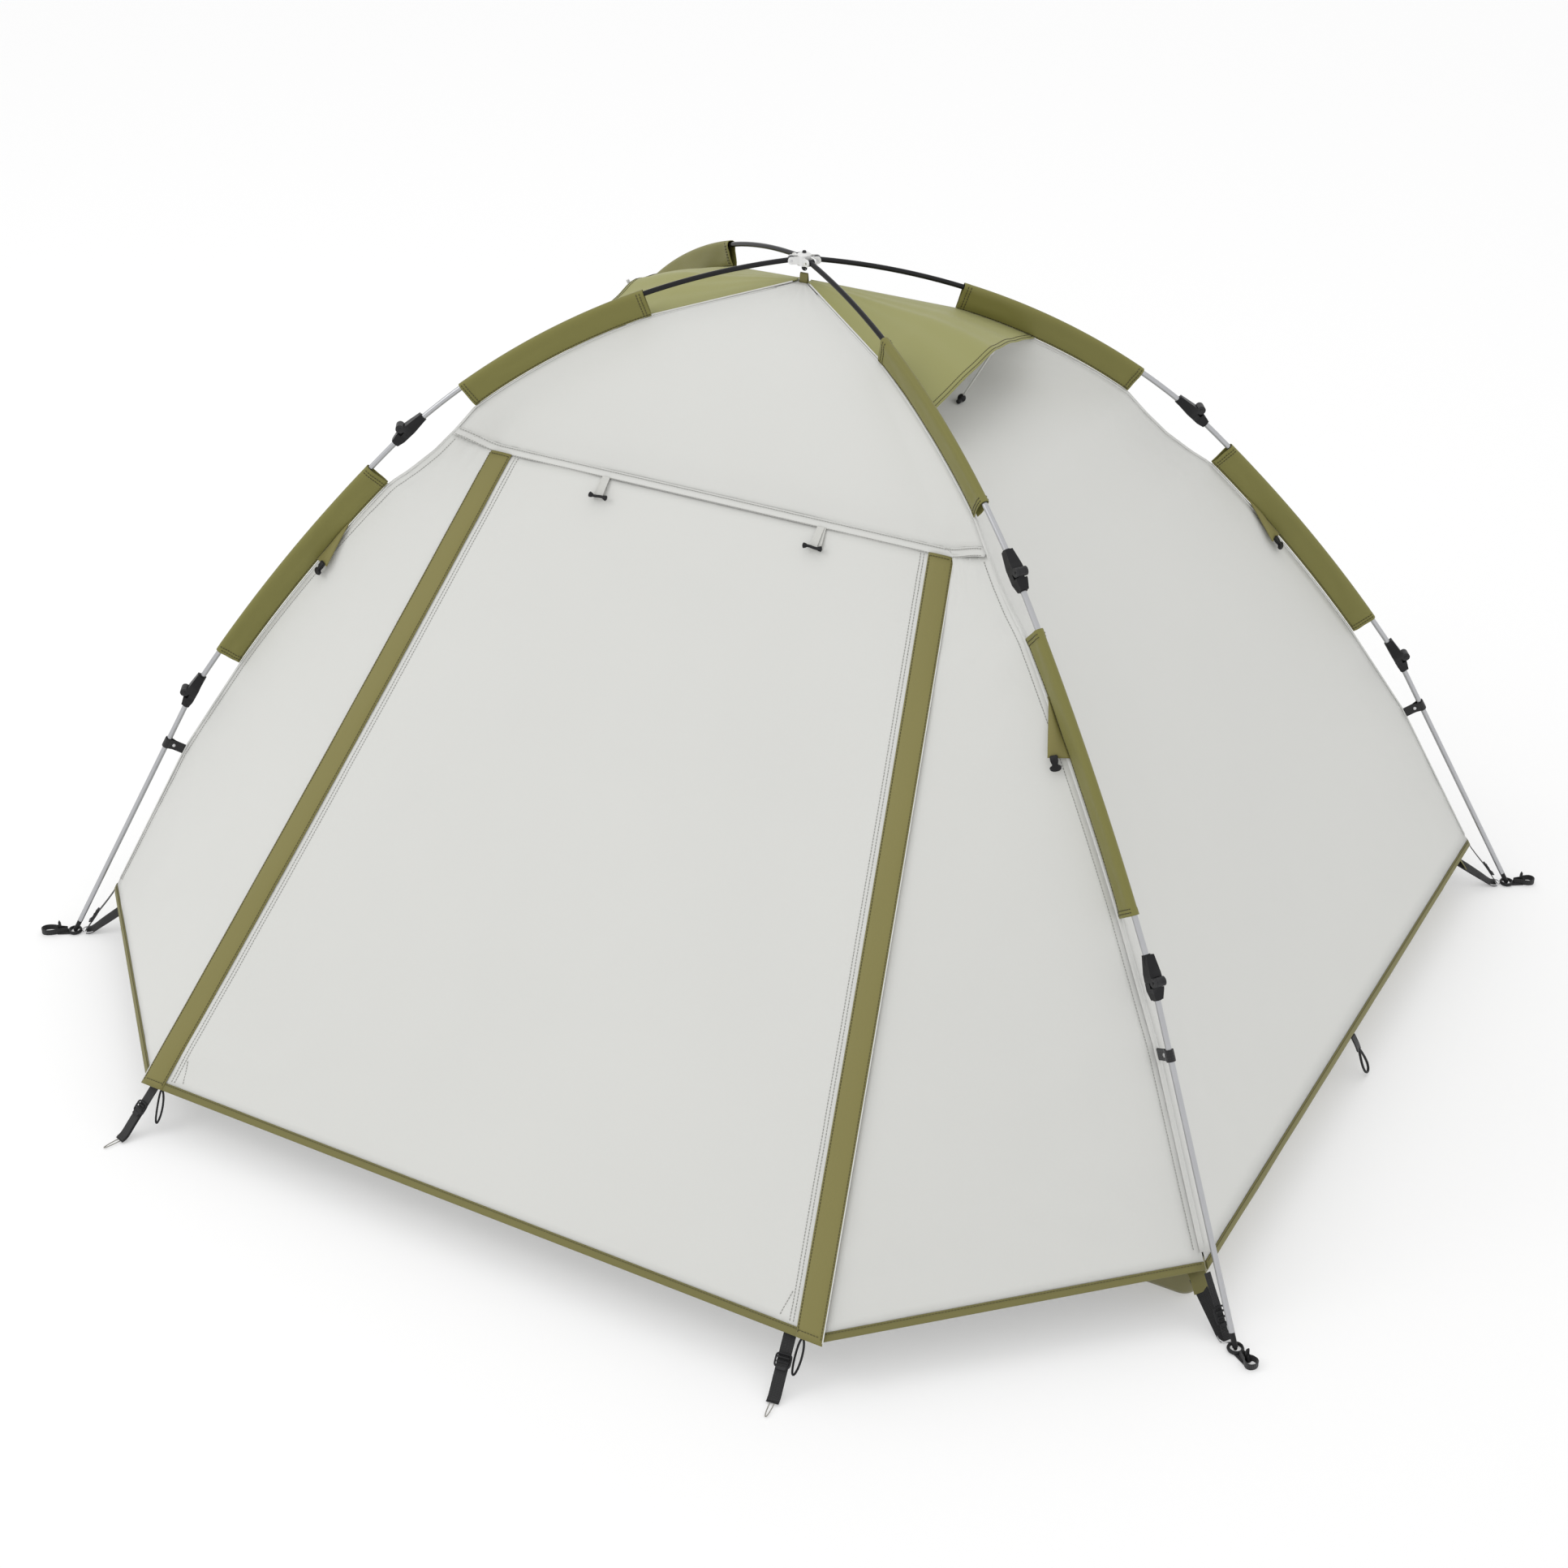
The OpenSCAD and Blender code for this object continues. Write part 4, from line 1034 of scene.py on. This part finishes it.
def top_strip(sy):
    """The seam between a top panel and the door and wings below it."""
    grid = []
    down = DOOR_DOWN
    for v in np.linspace(-0.995, 0.995, 121):
        above, at = top(SEAM_R - 0.0075, v), seam_curve(v)
        below = at + down * 0.0060
        over = np.cross(above - at, np.array([1.0, 0, 0]))
        over = DOOR_OUT * 0.6 + (over if over[2] > 0 else -over) / np.linalg.norm(over) * 0.4
        side_lift = 0.0008 + 0.0032 * max(0, abs(v) - 0.86) / 0.14
        grid.append([above + over * 0.0005, at + over * 0.0012, (at + below) / 2 + over * 0.0013,
                     below + over * side_lift])
    grid = quarter(np.array(grid), 1, sy)
    return cloth_piece("top_seam_" + end_of(sy), grid, SEAM_THICK, FLY, "fly_cloth", "stretched",
                       ["fly_top_" + end_of(sy)])


def piping(name, path, radius, material, body="canopy"):
    cord = tube(name, path, radius, material, sides=6)
    return fly_piece(cord, body)


def seams():
    run = np.linspace(0.003, 0.997, 260)
    strips = []
    for leg in LEGS:
        ridge_strip(leg)
    for sy, end in ((-1, "front"), (1, "rear")):
        top_strip(sy)
        strips += [on_grid("top_seam_" + end, run, c) for c in (0.10, 0.90)]
    for leg in LEGS:
        end = end_of(LEGS[leg][1])
        u = np.linspace(0.012, 0.985, 200)
        width = np.array([max(0.03, np.linalg.norm(wing(q, 1) - wing(q, 0))) for q in u])
        strips.append(on_grid("fly_wing_" + leg, u, 1 - 0.012 / width))
    fly_piece(stitches("fly_stitches", strips, THREAD))
    for sy, end in ((-1, "front"), (1, "rear")):
        pale, dark = [], []
        panel = "door_panel_" + end
        for hand in (-1, 1):
            for inset in (0.0345, 0.0405):
                u = np.linspace(0.004, 0.992, 240)
                half = np.array([door_half(q) for q in u])
                pale.append(on_grid(panel, u, 0.5 + hand * 0.5 * (half - inset) / (half - ZIP_GAP / 2)))
            u = np.linspace(0.955, 0.988, 16)
            half = np.array([door_half(q) for q in u])
            inset = 0.044 + (u - 0.955) / 0.033 * 0.014
            pale.append(on_grid(panel, u, 0.5 + hand * 0.5 * (half - inset) / (half - ZIP_GAP / 2)))
        for leg in LEGS:
            if (LEGS[leg][1] < 0) != (sy < 0):
                continue
            flap = "storm_flap_" + leg
            dark += [on_grid(flap, run, c) for c in (0.07, 0.93)]
            dark += [on_grid(flap, c, np.linspace(0.08, 0.92, 12)) for c in (0.004, 0.991)]
            edge = on_grid(flap, run, 0.999)[0]
            piping("flap_piping_" + leg, edge, 0.0010, PIPING_AND_PAINTED_LIGHT_CLOTH, "door_" + end)
        dark.append(on_grid("hem_door_" + end, run, 0.12))
        fly_piece(stitches("door_stitches_" + end, pale, THREAD), "door_" + end)
        fly_piece(stitches("flap_stitches_" + end, dark, OLIVE_THREAD), "door_" + end)
    hem_rows = [on_grid("hem_side_" + hand, run, 0.12) for hand in ("right", "left")]
    hem_rows += [on_grid("hem_wing_" + leg, run, 0.12) for leg in LEGS]
    for hand, sx in (("right", 1), ("left", -1)):
        hood_name = "vent_hood_" + hand
        hem_rows += [on_grid(hood_name, c, run) for c in (0.972, 0.990)]
        for v in (-1, 1):
            rim = [hood(u, v) + np.array([0, 0, -0.0012]) for u in np.linspace(0.02, 1, 60)]
            edge = quarter(rim, sx, -1)
            piping(f"hood_piping_{hand}_{'front' if v < 0 else 'rear'}", edge, 0.0014, PIPING_AND_PAINTED_LIGHT_CLOTH)
    fly_piece(stitches("trim_stitches", hem_rows, OLIVE_THREAD))
    for leg in LEGS:
        for kind, span in (("upper", UPPER_SLEEVE), ("mid", MID_SLEEVE)):
            name = f"{kind}_sleeve_cloth_{leg}"
            length = span[1] - span[0]
            grid = GRIDS[name]
            at = np.linalg.norm(np.diff(grid[:, 5], axis=0), axis=1).cumsum()
            shares = [float(np.interp(d, np.concatenate([[0], at]), np.linspace(0, 1, len(grid))))
                      for d in (0.007, 0.0125, length - 0.0125, length - 0.007)]
            core = grid.mean(axis=1, keepdims=True)
            rows = [on_grid(name, c, np.linspace(0.01, 0.42, 24), core) for c in shares]
            rows += [on_grid(name, c, np.linspace(0.58, 0.99, 24), core) for c in shares]
            rows += [on_grid(name, np.linspace(0.005, 0.995, 200), c, core) for c in (0.055, 0.945)]
            piece = stitches(f"{kind}_sleeve_stitches_{leg}", rows, OLIVE_THREAD, width=0.0013)
            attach(piece, f"{kind}_leg_{leg}")


# ---- Straps, hooks and toggles ----


def smooth_path(points, count):
    """A soft curve through a few given points."""
    points = np.asarray(points, float)
    ends = np.vstack([2 * points[0] - points[1], points, 2 * points[-1] - points[-2]])
    path = []
    spans = len(points) - 1
    for k in range(count + 1):
        t = spans * k / count
        i = min(int(t), spans - 1)
        f = t - i
        a, b, c, d = ends[i:i + 4]
        path.append(0.5
                    * (2 * b + (c - a) * f + (2 * a - 5 * b + 4 * c - d) * f ** 2 + (3 * b - a - 3 * c + d)
                       * f ** 3))
    return np.array(path)


def block(name, outline, depth, place, material, bevel=0.0006):
    """A moulded piece: an outline in its own x-y plane, given a depth along z and rounded edges."""
    built = bmesh.new()
    low = [built.verts.new((x, y, -depth / 2)) for x, y in outline]
    face = built.faces.new(low)
    raised = bmesh.ops.extrude_face_region(built, geom=[face])
    up = [v for v in raised["geom"] if isinstance(v, bmesh.types.BMVert)]
    bmesh.ops.translate(built, vec=(0, 0, depth), verts=up)
    bmesh.ops.bevel(built, geom=list(built.edges), offset=bevel, segments=2, affect="EDGES")
    bmesh.ops.recalc_face_normals(built, faces=built.faces)
    built.transform(place)
    mesh = bpy.data.meshes.new(name)
    built.to_mesh(mesh)
    built.free()
    mesh.polygons.foreach_set("use_smooth", [False] * len(mesh.polygons))
    return new_object(name, mesh, material)


def placed(origin, x_way, z_way):
    """A matrix with its x along x_way and its z as near z_way as it can be."""
    x = Vector(x_way).normalized()
    y = Vector(z_way).cross(x).normalized()
    z = x.cross(y)
    turn = Matrix((x, y, z)).transposed().to_4x4()
    return Matrix.Translation(Vector(origin)) @ turn


def ring_of(name, outline, width, depth, place, material):
    """A closed loop of bar, such as a buckle's frame, along an outline in its own x-y plane."""
    count = len(outline)
    points, faces = [], []
    for k, (x, y) in enumerate(outline):
        ahead = np.array(outline[(k + 1) % count]) - np.array(outline[k - 1])
        out = np.array([ahead[1], -ahead[0]]) / max(np.linalg.norm(ahead), 1e-9)
        for turn in range(6):
            a = 60 * turn
            offset = out * width / 2 * cos(a)
            points.append(place @ Vector((x + offset[0], y + offset[1], depth / 2 * sin(a))))
    for k in range(count):
        for turn in range(6):
            a, b = k * 6 + turn, k * 6 + (turn + 1) % 6
            c, d = ((k + 1) % count) * 6 + (turn + 1) % 6, ((k + 1) % count) * 6 + turn
            faces.append((a, b, c, d))
    return mesh_from(name, points, faces, material)


def oval(length, width, count=28, power=2.6):
    """A rounded oblong outline."""
    points = []
    for k in range(count):
        a = 360 * k / count
        x = length / 2 * math.copysign(abs(cos(a)) ** (2 / power), cos(a))
        y = width / 2 * math.copysign(abs(sin(a)) ** (2 / power), sin(a))
        points.append((x, y))
    return points


def ladder_lock(name, place, width, length):
    """A strap adjuster: a frame with two cross bars and a lifted lip."""
    frame_bar = ring_of(name + "_frame", oval(length, width + 0.006, power=5), 0.0032, 0.0036, place, BLACK)
    bars = []
    for k, x in enumerate((-0.22, 0.12)):
        path = [place @ Vector((x * length, y * width / 2, 0.0012)) for y in (-1.05, -0.5, 0, 0.5, 1.05)]
        bars.append(tube(f"{name}_bar_{k}", [tuple(p) for p in path], 0.0017, BLACK, sides=8))
    lip = [(-0.001, -width / 2), (0.005, -width * 0.42), (0.005, width * 0.42), (-0.001, width / 2)]
    lift = place @ Matrix.Translation((length / 2, 0, 0.0016)) @ Matrix.Rotation(-0.35, 4, "Y")
    return [frame_bar, block(name + "_lip", lip, 0.0022, lift, BLACK)] + bars


def at_leg(leg, r, y, z):
    radial, sideways = leg_frame(leg)
    return radial * r + sideways * y + UP * z


def strap_piece(piece, body="canopy"):
    return fly_piece(piece, body)


def corner_hardware(leg):
    """What ties one corner to its foot and to its peg."""
    radial, sideways = leg_frame(leg)
    wide = [at_leg(leg, CORNER_R - 0.026 + (1.356 - CORNER_R + 0.026) * t, 0,
                   FLOOR_EDGE - 0.002 + (0.0050 - FLOOR_EDGE + 0.002) * t)
            for t in (0, 0.25, 0.5, 0.75, 1)]
    path = smooth_path(wide + [at_leg(leg, 1.366, 0, 0.0026)], 26)
    twist = {"fr": 0.3, "rr": 0.6, "rl": 0.3, "fl": -0.6}[leg]
    turned = [sideways + UP * twist * (1 - (k / 26) ** 2) for k in range(27)]
    web = ribbon("corner_webbing_" + leg, path, np.array(turned), 0.022, 0.0017, WEBBING)
    thin = smooth_path([at_leg(leg, r, 0, z) for r, z in (
        (CORNER_R + 0.001, CORNER_Z - 0.004), (1.320, 0.068), (1.337, 0.047), (1.352, 0.026), (1.363,
                0.010), (1.368, 0.004))], 24)
    tie = ribbon("corner_tie_" + leg, thin, sideways, 0.011, 0.0014, WEBBING)
    way = thin[13] - thin[11]
    out = np.cross(sideways, way)
    if out[2] < 0:
        out = -out
    lock = ladder_lock("corner_lock_" + leg,
                       placed(thin[12] + out / np.linalg.norm(out) * 0.0014, way, out), 0.014, 0.026)
    keeper = placed(at_leg(leg, 1.361, 0, 0.0048), radial, UP)
    steel = ring_of("corner_ring_" + leg, oval(0.026, 0.022, power=2), 0.0022, 0.0022, keeper, STEEL)
    foot = placed(at_leg(leg, FOOT_R - 0.002, 0, 0.0040), radial, UP)
    cup = ring_of("foot_cup_" + leg, oval(0.022, 0.022, power=2), 0.0052, 0.0070, foot, BLACK)
    loop_path = []
    reach = {"fr": 0.020, "rr": 0.026, "rl": 0.034, "fl": 0.034}[leg]
    for k in range(41):
        a = 180 * k / 40 - 90
        x = RING_OUT - 0.020 + reach * cos(a) ** 0.8 if abs(a) < 90 else RING_OUT - 0.020
        loop_path.append(at_leg(leg, x,
                                0.0150 * sin(a) * (0.35 + 0.65 * cos(a) ** 0.6 if abs(a) < 90
                                                   else 0.35), 0.0065))
    start = [at_leg(leg, FOOT_R + 0.012, -0.0022, 0.0065)]
    end = [at_leg(leg, FOOT_R + 0.012, 0.0022, 0.0065)]
    loop = ribbon("peg_loop_" + leg, np.array(start + loop_path + end), UP, 0.011, 0.0016, WEBBING)
    tab = ribbon("peg_tab_" + leg,
                 [at_leg(leg, r, 0, 0.0016) for r in (FOOT_R + 0.006, FOOT_R + 0.018, FOOT_R + 0.030)],
                 sideways, 0.018, 0.0020, WEBBING)
    hook_at = placed(at_leg(leg, FOOT_R + 0.026, 0, 0.0028), radial, -sideways)
    outline = [(-0.0075, 0), (0.0075, 0), (0.0050, 0.005), (0.0024, 0.010), (0.0016, 0.021),
               (-0.0002, 0.024), (-0.0026, 0.019), (-0.0032, 0.009), (-0.0060, 0.004)]
    hook = block("peg_hook_" + leg, outline, 0.0052, hook_at, BLACK)
    gusset_path = [at_leg(leg, r, 0, z)
                   for r, z in ((CORNER_R - 0.040, CORNER_Z - 0.016), (1.283, 0.066), (1.298, 0.0455))]
    gusset = ribbon("corner_gusset_" + leg, smooth_path(gusset_path, 10), sideways, 0.030, 0.0018, HEM_TAPE)
    parts = [web, tie, steel, cup, loop, tab, hook] + lock
    whole = join("corner_hardware_" + leg, parts)
    strap_piece(whole)
    strap_piece(gusset)
    return whole


POLE_CLIP_Z = 0.408


def pole_clip(leg):
    """The webbing that folds round a lower pole and snaps onto itself at the fly's edge."""
    radial, sideways = leg_frame(leg)
    down = radial * cos(LOWER_SLOPE) + UP * sin(LOWER_SLOPE)
    out = radial * -sin(LOWER_SLOPE) + UP * cos(LOWER_SLOPE)
    centre = at_leg(leg, FOOT_R + POLE_CLIP_Z / LOWER_TAN, 0, POLE_CLIP_Z)
    half = [(-0.041, 0.0010), (-0.030, 0.0010), (-0.020, 0.0010), (-0.013, 0.0013), (-0.0088, 0.0030)]
    round_pole = [(0.0067 * cos(a), 0.0067 * sin(a)) for a in np.linspace(140, -140, 19)]
    fold = half + round_pole + [(x, -y) for x, y in reversed(half)]
    path = [centre + out * x + sideways * y for x, y in fold]
    web = ribbon("clip_webbing_" + leg, path, down, 0.0185, 0.0014, WEBBING)
    snap_at = centre - out * 0.0125
    stud = tube("clip_snap_" + leg, [snap_at + sideways * y for y in (-0.0036, -0.0031, 0.0031, 0.0036)],
                0.0034, STEEL,
                sides=18, taper=[0.55, 1, 1, 0.55])
    return strap_piece(join("pole_clip_" + leg, [web, stud]))


STAKE_X = 0.630


def stake_strap(sx, sy, leg):
    """The adjustable strap and cord loops at a door's lower corner."""
    def at(x, y, z):
        return np.array([sx * (x + across_shift), -sy * y, z])

    across_shift = -0.032 if sx > 0 else 0.004
    lean = 0.012 if sx > 0 else 0.024
    high, low = at(STAKE_X, -1.117, 0.076), at(STAKE_X + 0.85 * lean, -1.184, 0.0080)
    path = smooth_path([high + (low - high) * t for t in (0, 0.25, 0.5, 0.75, 1)]
                       + [at(STAKE_X + lean, -1.195, 0.0034)], 30)
    across = np.cross(path[-1] - path[0], UP)
    main = ribbon("stake_webbing_" + leg, path, across, 0.020, 0.0017, WEBBING)
    lift = np.cross(across, path[-1] - path[0])
    lift = lift / np.linalg.norm(lift)
    if lift[2] < 0:
        lift = -lift
    doubled = ribbon("stake_tail_" + leg, path[11:29] + lift * 0.0026, across, 0.018, 0.0015, WEBBING)
    way = path[12] - path[10]
    lock = ladder_lock("stake_lock_" + leg, placed(path[11] + lift * 0.0026, way, lift), 0.018, 0.020)
    end, ahead = path[-1], path[-1] - path[-3]
    ahead = ahead / np.linalg.norm(ahead)
    flat_side = across / np.linalg.norm(across)
    loop = []
    for k in range(25):
        a = 180 * k / 24
        loop.append(end + np.array([ahead[0], ahead[1], 0]) * 0.030 * sin(a) + flat_side * 0.0034 * cos(a)
                    - UP * 0.0010 * sin(a))
    cord_loop = tube("stake_loop_" + leg, loop, 0.0009, PALE_TAPE, sides=8)
    top_at = at(0.652 if sx > 0 else 0.614, -1.120, 0.074)
    spare = []
    for k in range(31):
        a = 360 * k / 30
        spread = 0.0055 * sin(a)
        drop = (1 - cos(a)) / 2
        fall = np.array([sx * (spread - 0.002 * drop), sy * (0.016 * drop + 0.010 * drop ** 2),
                         -0.052 * drop])
        spare.append(top_at + fall)
    black_loop = tube("spare_loop_" + leg, spare, 0.0018, BLACK, sides=8)
    whole = join("stake_strap_" + leg, [main, doubled, cord_loop, black_loop] + lock)
    return strap_piece(whole)


def side_loop(sx):
    def at(x, y, z):
        return np.array([sx * x, y, z])

    tab_path = smooth_path([at(1.094, 0, 0.084), at(1.102, 0.001, 0.070), at(1.107, 0.004, 0.056)], 10)
    tab = ribbon("side_tab", tab_path, (0, 1, 0), 0.016, 0.0030, WEBBING)
    loop = []
    for k in range(33):
        a = 360 * k / 32
        drop = (1 - cos(a)) / 2
        loop.append(at(1.107 + 0.017 * drop, 0.004 + 0.0115 * sin(a) * (0.3 + 0.9 * drop) + 0.014 * drop,
                       0.058 - 0.052 * drop))
    cord_loop = tube("side_cord", loop, 0.0023, BLACK, sides=8)
    return strap_piece(join("side_loop_" + hand_of(sx), [tab, cord_loop]))


TOGGLE_X = 0.205


def toggle(sy, sx):
    """A ribbon loop with a dog-bone bar, which ties up the rolled door."""
    end = end_of(sy)
    name = f"toggle_{end}_{hand_of(sx)}"
    down = DOOR_DOWN
    start = door(0.004, TOGGLE_X)
    stations = [(0.000, 0.0030), (0.012, 0.0042), (0.025, 0.0050), (0.035, 0.0052), (0.0395, 0.0040),
                (0.037, 0.0024), (0.022, 0.0018)]
    path = quarter([start + down * s + DOOR_OUT * h for s, h in stations], sx, sy)
    tape = ribbon(name + "_tape", smooth_path(path, 28), (1, 0, 0), 0.0130, 0.0009, RIBBON_CLOTH)
    fanned = [start + down * s * 0.93 + np.array([0.0035 + 0.10 * s, 0, 0]) + DOOR_OUT * 0.55 * h
              for s, h in stations[:5]]
    second = ribbon(name + "_second", smooth_path(quarter(fanned, sx, sy), 20), (1, 0, 0), 0.0110, 0.0009,
                    RIBBON_CLOTH)
    middle = start + down * 0.0375 + DOOR_OUT * 0.0088
    bar = [quarter(middle + np.array([t * 0.0175, 0, 0]) + down * 0.0006 * math.sin(4 * t), sx, sy)
           for t in np.linspace(-1, 1, 23)]
    shape = [0.55 + 0.9 * max(0, abs(t) - 0.55) ** 0.5 if abs(t) < 0.93 else 0.8 - 6 * (abs(t) - 0.93)
             for t in np.linspace(-1, 1, 23)]
    rod = tube(name + "_bar", bar, 0.0044, BLACK, sides=12, taper=shape)
    whole = join(name, [tape, second, rod])
    return strap_piece(whole, "door_" + end)


PROP_FOOT = np.array([0.300, 0, 1.109])
PROP_WAY = np.array([0.5, 0, 0.866])


def vent_prop(sx):
    """The short strut under a hood, with a ball at its foot."""
    name = hand_of(sx)
    rod = tube("prop_rod_" + name,
               [quarter(PROP_FOOT + PROP_WAY * s, sx, -1) for s in np.linspace(0.004, 0.106, 12)],
               0.0017, PROP_WHITE, sides=10)
    ball_rings = [quarter(PROP_FOOT + PROP_WAY * 0.0072 * -cos(a), sx, -1) for a in np.linspace(4, 176, 13)]
    ball = tube("prop_ball_" + name, ball_rings, 0.0072, BLACK, sides=18,
                taper=[sin(a) for a in np.linspace(4, 176, 13)])
    seat = tube("prop_seat_" + name,
                [quarter(PROP_FOOT + np.array([0, y, -0.002]), sx, -1)
                 for y in np.linspace(-0.013, 0.006, 8)],
                0.0040, BLACK, sides=12)
    tip = tube("prop_tip_" + name,
               [quarter(PROP_FOOT + PROP_WAY * s, sx, -1) for s in (0.101, 0.103, 0.106, 0.108)],
               0.0030, PROP_WHITE, sides=10)
    whole = join("vent_strut_" + name, [rod, ball, seat, tip])
    fly_piece(whole, "prop_" + name)
    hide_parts("vent_prop_" + name)


TAB_SIDE = {"fr": -1, "rr": -1, "rl": 1, "fl": 1}


def guy_tab(leg):
    """The folded tab at a lower sleeve and the two-eared hook on it."""
    hand = TAB_SIDE[leg]
    slope = MID_SLOPE - math.degrees(0.190 / MID_RADIUS)
    r, z = arc_point(MID_CENTRE, MID_RADIUS, slope)
    radial, sideways = leg_frame(leg)
    down = radial * cos(slope) + UP * sin(slope)
    out = radial * -sin(slope) + UP * cos(slope)
    origin = radial * r + UP * z - out * 0.0375

    def at(x, y, lift):
        return origin + down * x + sideways * hand * y + out * lift

    rows = []
    for t in np.linspace(0, 1, 22):
        inner = np.array(at(0.100 * t, 0.0012 + 0.001 * t, 0))
        outer = np.array(at(0.088 * t, 0.0025 + 0.0285 * t, 0.002 - 0.0165 * t))
        bow = out * 0.004 * math.sin(math.pi * t)
        rows.append([inner + (outer - inner) * k + bow * math.sin(math.pi * k)
                     for k in np.linspace(0, 1, 9)])
    grid = np.array(rows)
    normals = normals_of(grid, grid - (out + 0.4 * sideways * hand))
    cloth_tab = shell("tab_cloth_" + leg, grid, 0.0022, OLIVE, normals=normals)
    foot = at(0.0915, 0.0235, -0.0095)
    fall = np.array(at(0.112, 0.0255, -0.0125)) - foot
    face = normals[-1, 6]
    stem = [(-0.004, -0.0062), (0.006, -0.0062), (0.008, -0.0050), (0.0115, -0.0042), (0.0125, -0.0088),
            (0.0170, -0.0094), (0.0205, -0.0060), (0.0215, 0.0), (0.0205, 0.0060), (0.0170, 0.0094),
            (0.0125, 0.0088), (0.0115, 0.0042), (0.008, 0.0050), (0.006, 0.0062), (-0.004, 0.0062)]
    hook = block("tab_hook_" + leg, stem, 0.0050, placed(foot + face * 0.001, fall, face), BLACK, 0.0010)
    whole = join("guy_tab_" + leg, [cloth_tab, hook])
    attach(whole, "mid_leg_" + leg)


def peak_tab():
    """The olive tab at the peak that the hub's hook holds."""
    low, high = PEAK_HEIGHT - 0.006, TAB_TOP - 0.006
    grid = [[np.array([x, 0.0026 * (1 - t ** 2) + 0.0006, low + (high - low) * t])
             for x in np.linspace(-0.0075, 0.0075, 7)]
            for t in np.linspace(0, 1, 9)]
    back = [[p * np.array([1, -1, 1]) for p in row] for row in reversed(grid)]
    piece = shell("peak_tab", np.array(grid + back[1:]), 0.0010, HEM_TAPE,
                  away_from=np.array([0, 0, (low + high) / 2 - 0.02]))
    strap_piece(piece)
    loop = [np.array([0.0042 * sin(a), 0.0006, TAB_TOP - 0.002 + 0.0075 * (1 - cos(a)) / 2])
            for a in np.linspace(-180, 180, 33)]
    hang = smooth_path([(0, 0, 1.304), (0.0036, -0.002, 1.298), (0.0040, -0.003, 1.291),
                        (0.0008, -0.001, 1.285), (0, 0.0006, 1.279)], 20)
    cord = join("peak_cord",
                [tube("peak_loop", loop, 0.0011, BLACK, sides=8),
                 tube("peak_hang", hang, 0.0013, BLACK, sides=8)])
    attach(cord, "hub")


def hardware():
    corners = [corner_hardware(leg) for leg in LEGS]
    stakes = [stake_strap(sx, sy, leg) for leg, (sx, sy) in LEGS.items()]
    toggles = {sy: [toggle(sy, sx) for sx in (1, -1)] for sy in (-1, 1)}
    for sx in (1, -1):
        side_loop(sx)
        vent_prop(sx)
    for leg in LEGS:
        guy_tab(leg)
        pole_clip(leg)
    peak_tab()
    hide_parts("corner_straps")
    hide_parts("stake_straps")
    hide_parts("front_toggles")
    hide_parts("rear_toggles")


# ---- Stage ----


STUDIO_HALF = 30


def stage():
    size = STUDIO_HALF
    mesh = bpy.data.meshes.new("studio_floor")
    mesh.from_pydata([(-size, -size, -0.0005), (size, -size, -0.0005), (size, size, -0.0005),
                      (-size, size, -0.0005)], [], [(0, 1, 2, 3)])
    material, *_, shader = new_material("studio_floor")
    shader.inputs["Base Color"].default_value = (0.66, 0.66, 0.66, 1)
    shader.inputs["Emission Color"].default_value = (1, 1, 1, 1)
    shader.inputs["Emission Strength"].default_value = 0.31
    shader.inputs["Roughness"].default_value = 0.9
    floor = new_object("studio_floor", mesh, material)
    world = bpy.data.worlds.new("studio")
    bpy.context.scene.world = world
    world.use_nodes = True
    world.node_tree.nodes["Background"].inputs["Color"].default_value = (1, 1, 1, 1)
    world.node_tree.nodes["Background"].inputs["Strength"].default_value = 0.97
    lights = [
        ("key_light", (-3.4, -3.2, 4.4), 2.2, 38),
        ("top_light", (-0.3, 0.4, 5.4), 3.2, 16),
    ]
    for name, place, width, power in lights:
        light = bpy.data.lights.new(name, "AREA")
        light.size = width
        light.energy = power
        lamp = bpy.data.objects.new(name, light)
        lamp.location = place
        lamp.rotation_euler = (Vector((0, 0, 0.4)) - Vector(place)).to_track_quat("-Z", "Y").to_euler()
        bpy.context.scene.collection.objects.link(lamp)


def camera():
    data = bpy.data.cameras.new("camera")
    data.lens = 58.14
    data.sensor_width = 36
    eye = bpy.data.objects.new("camera", data)
    eye.location = (1.976, -3.599, 2.693)
    aim = Vector((-0.0473, 0.0149, 0.2559)) - eye.location
    eye.rotation_euler = aim.to_track_quat("-Z", "Y").to_euler()
    bpy.context.scene.collection.objects.link(eye)
    bpy.context.scene.camera = eye
    bpy.context.scene.view_settings.view_transform = "Standard"


camera()
stage()
hard_parts()
fly()
sleeves()
inner_tent()
groundsheet()
seams()
hardware()
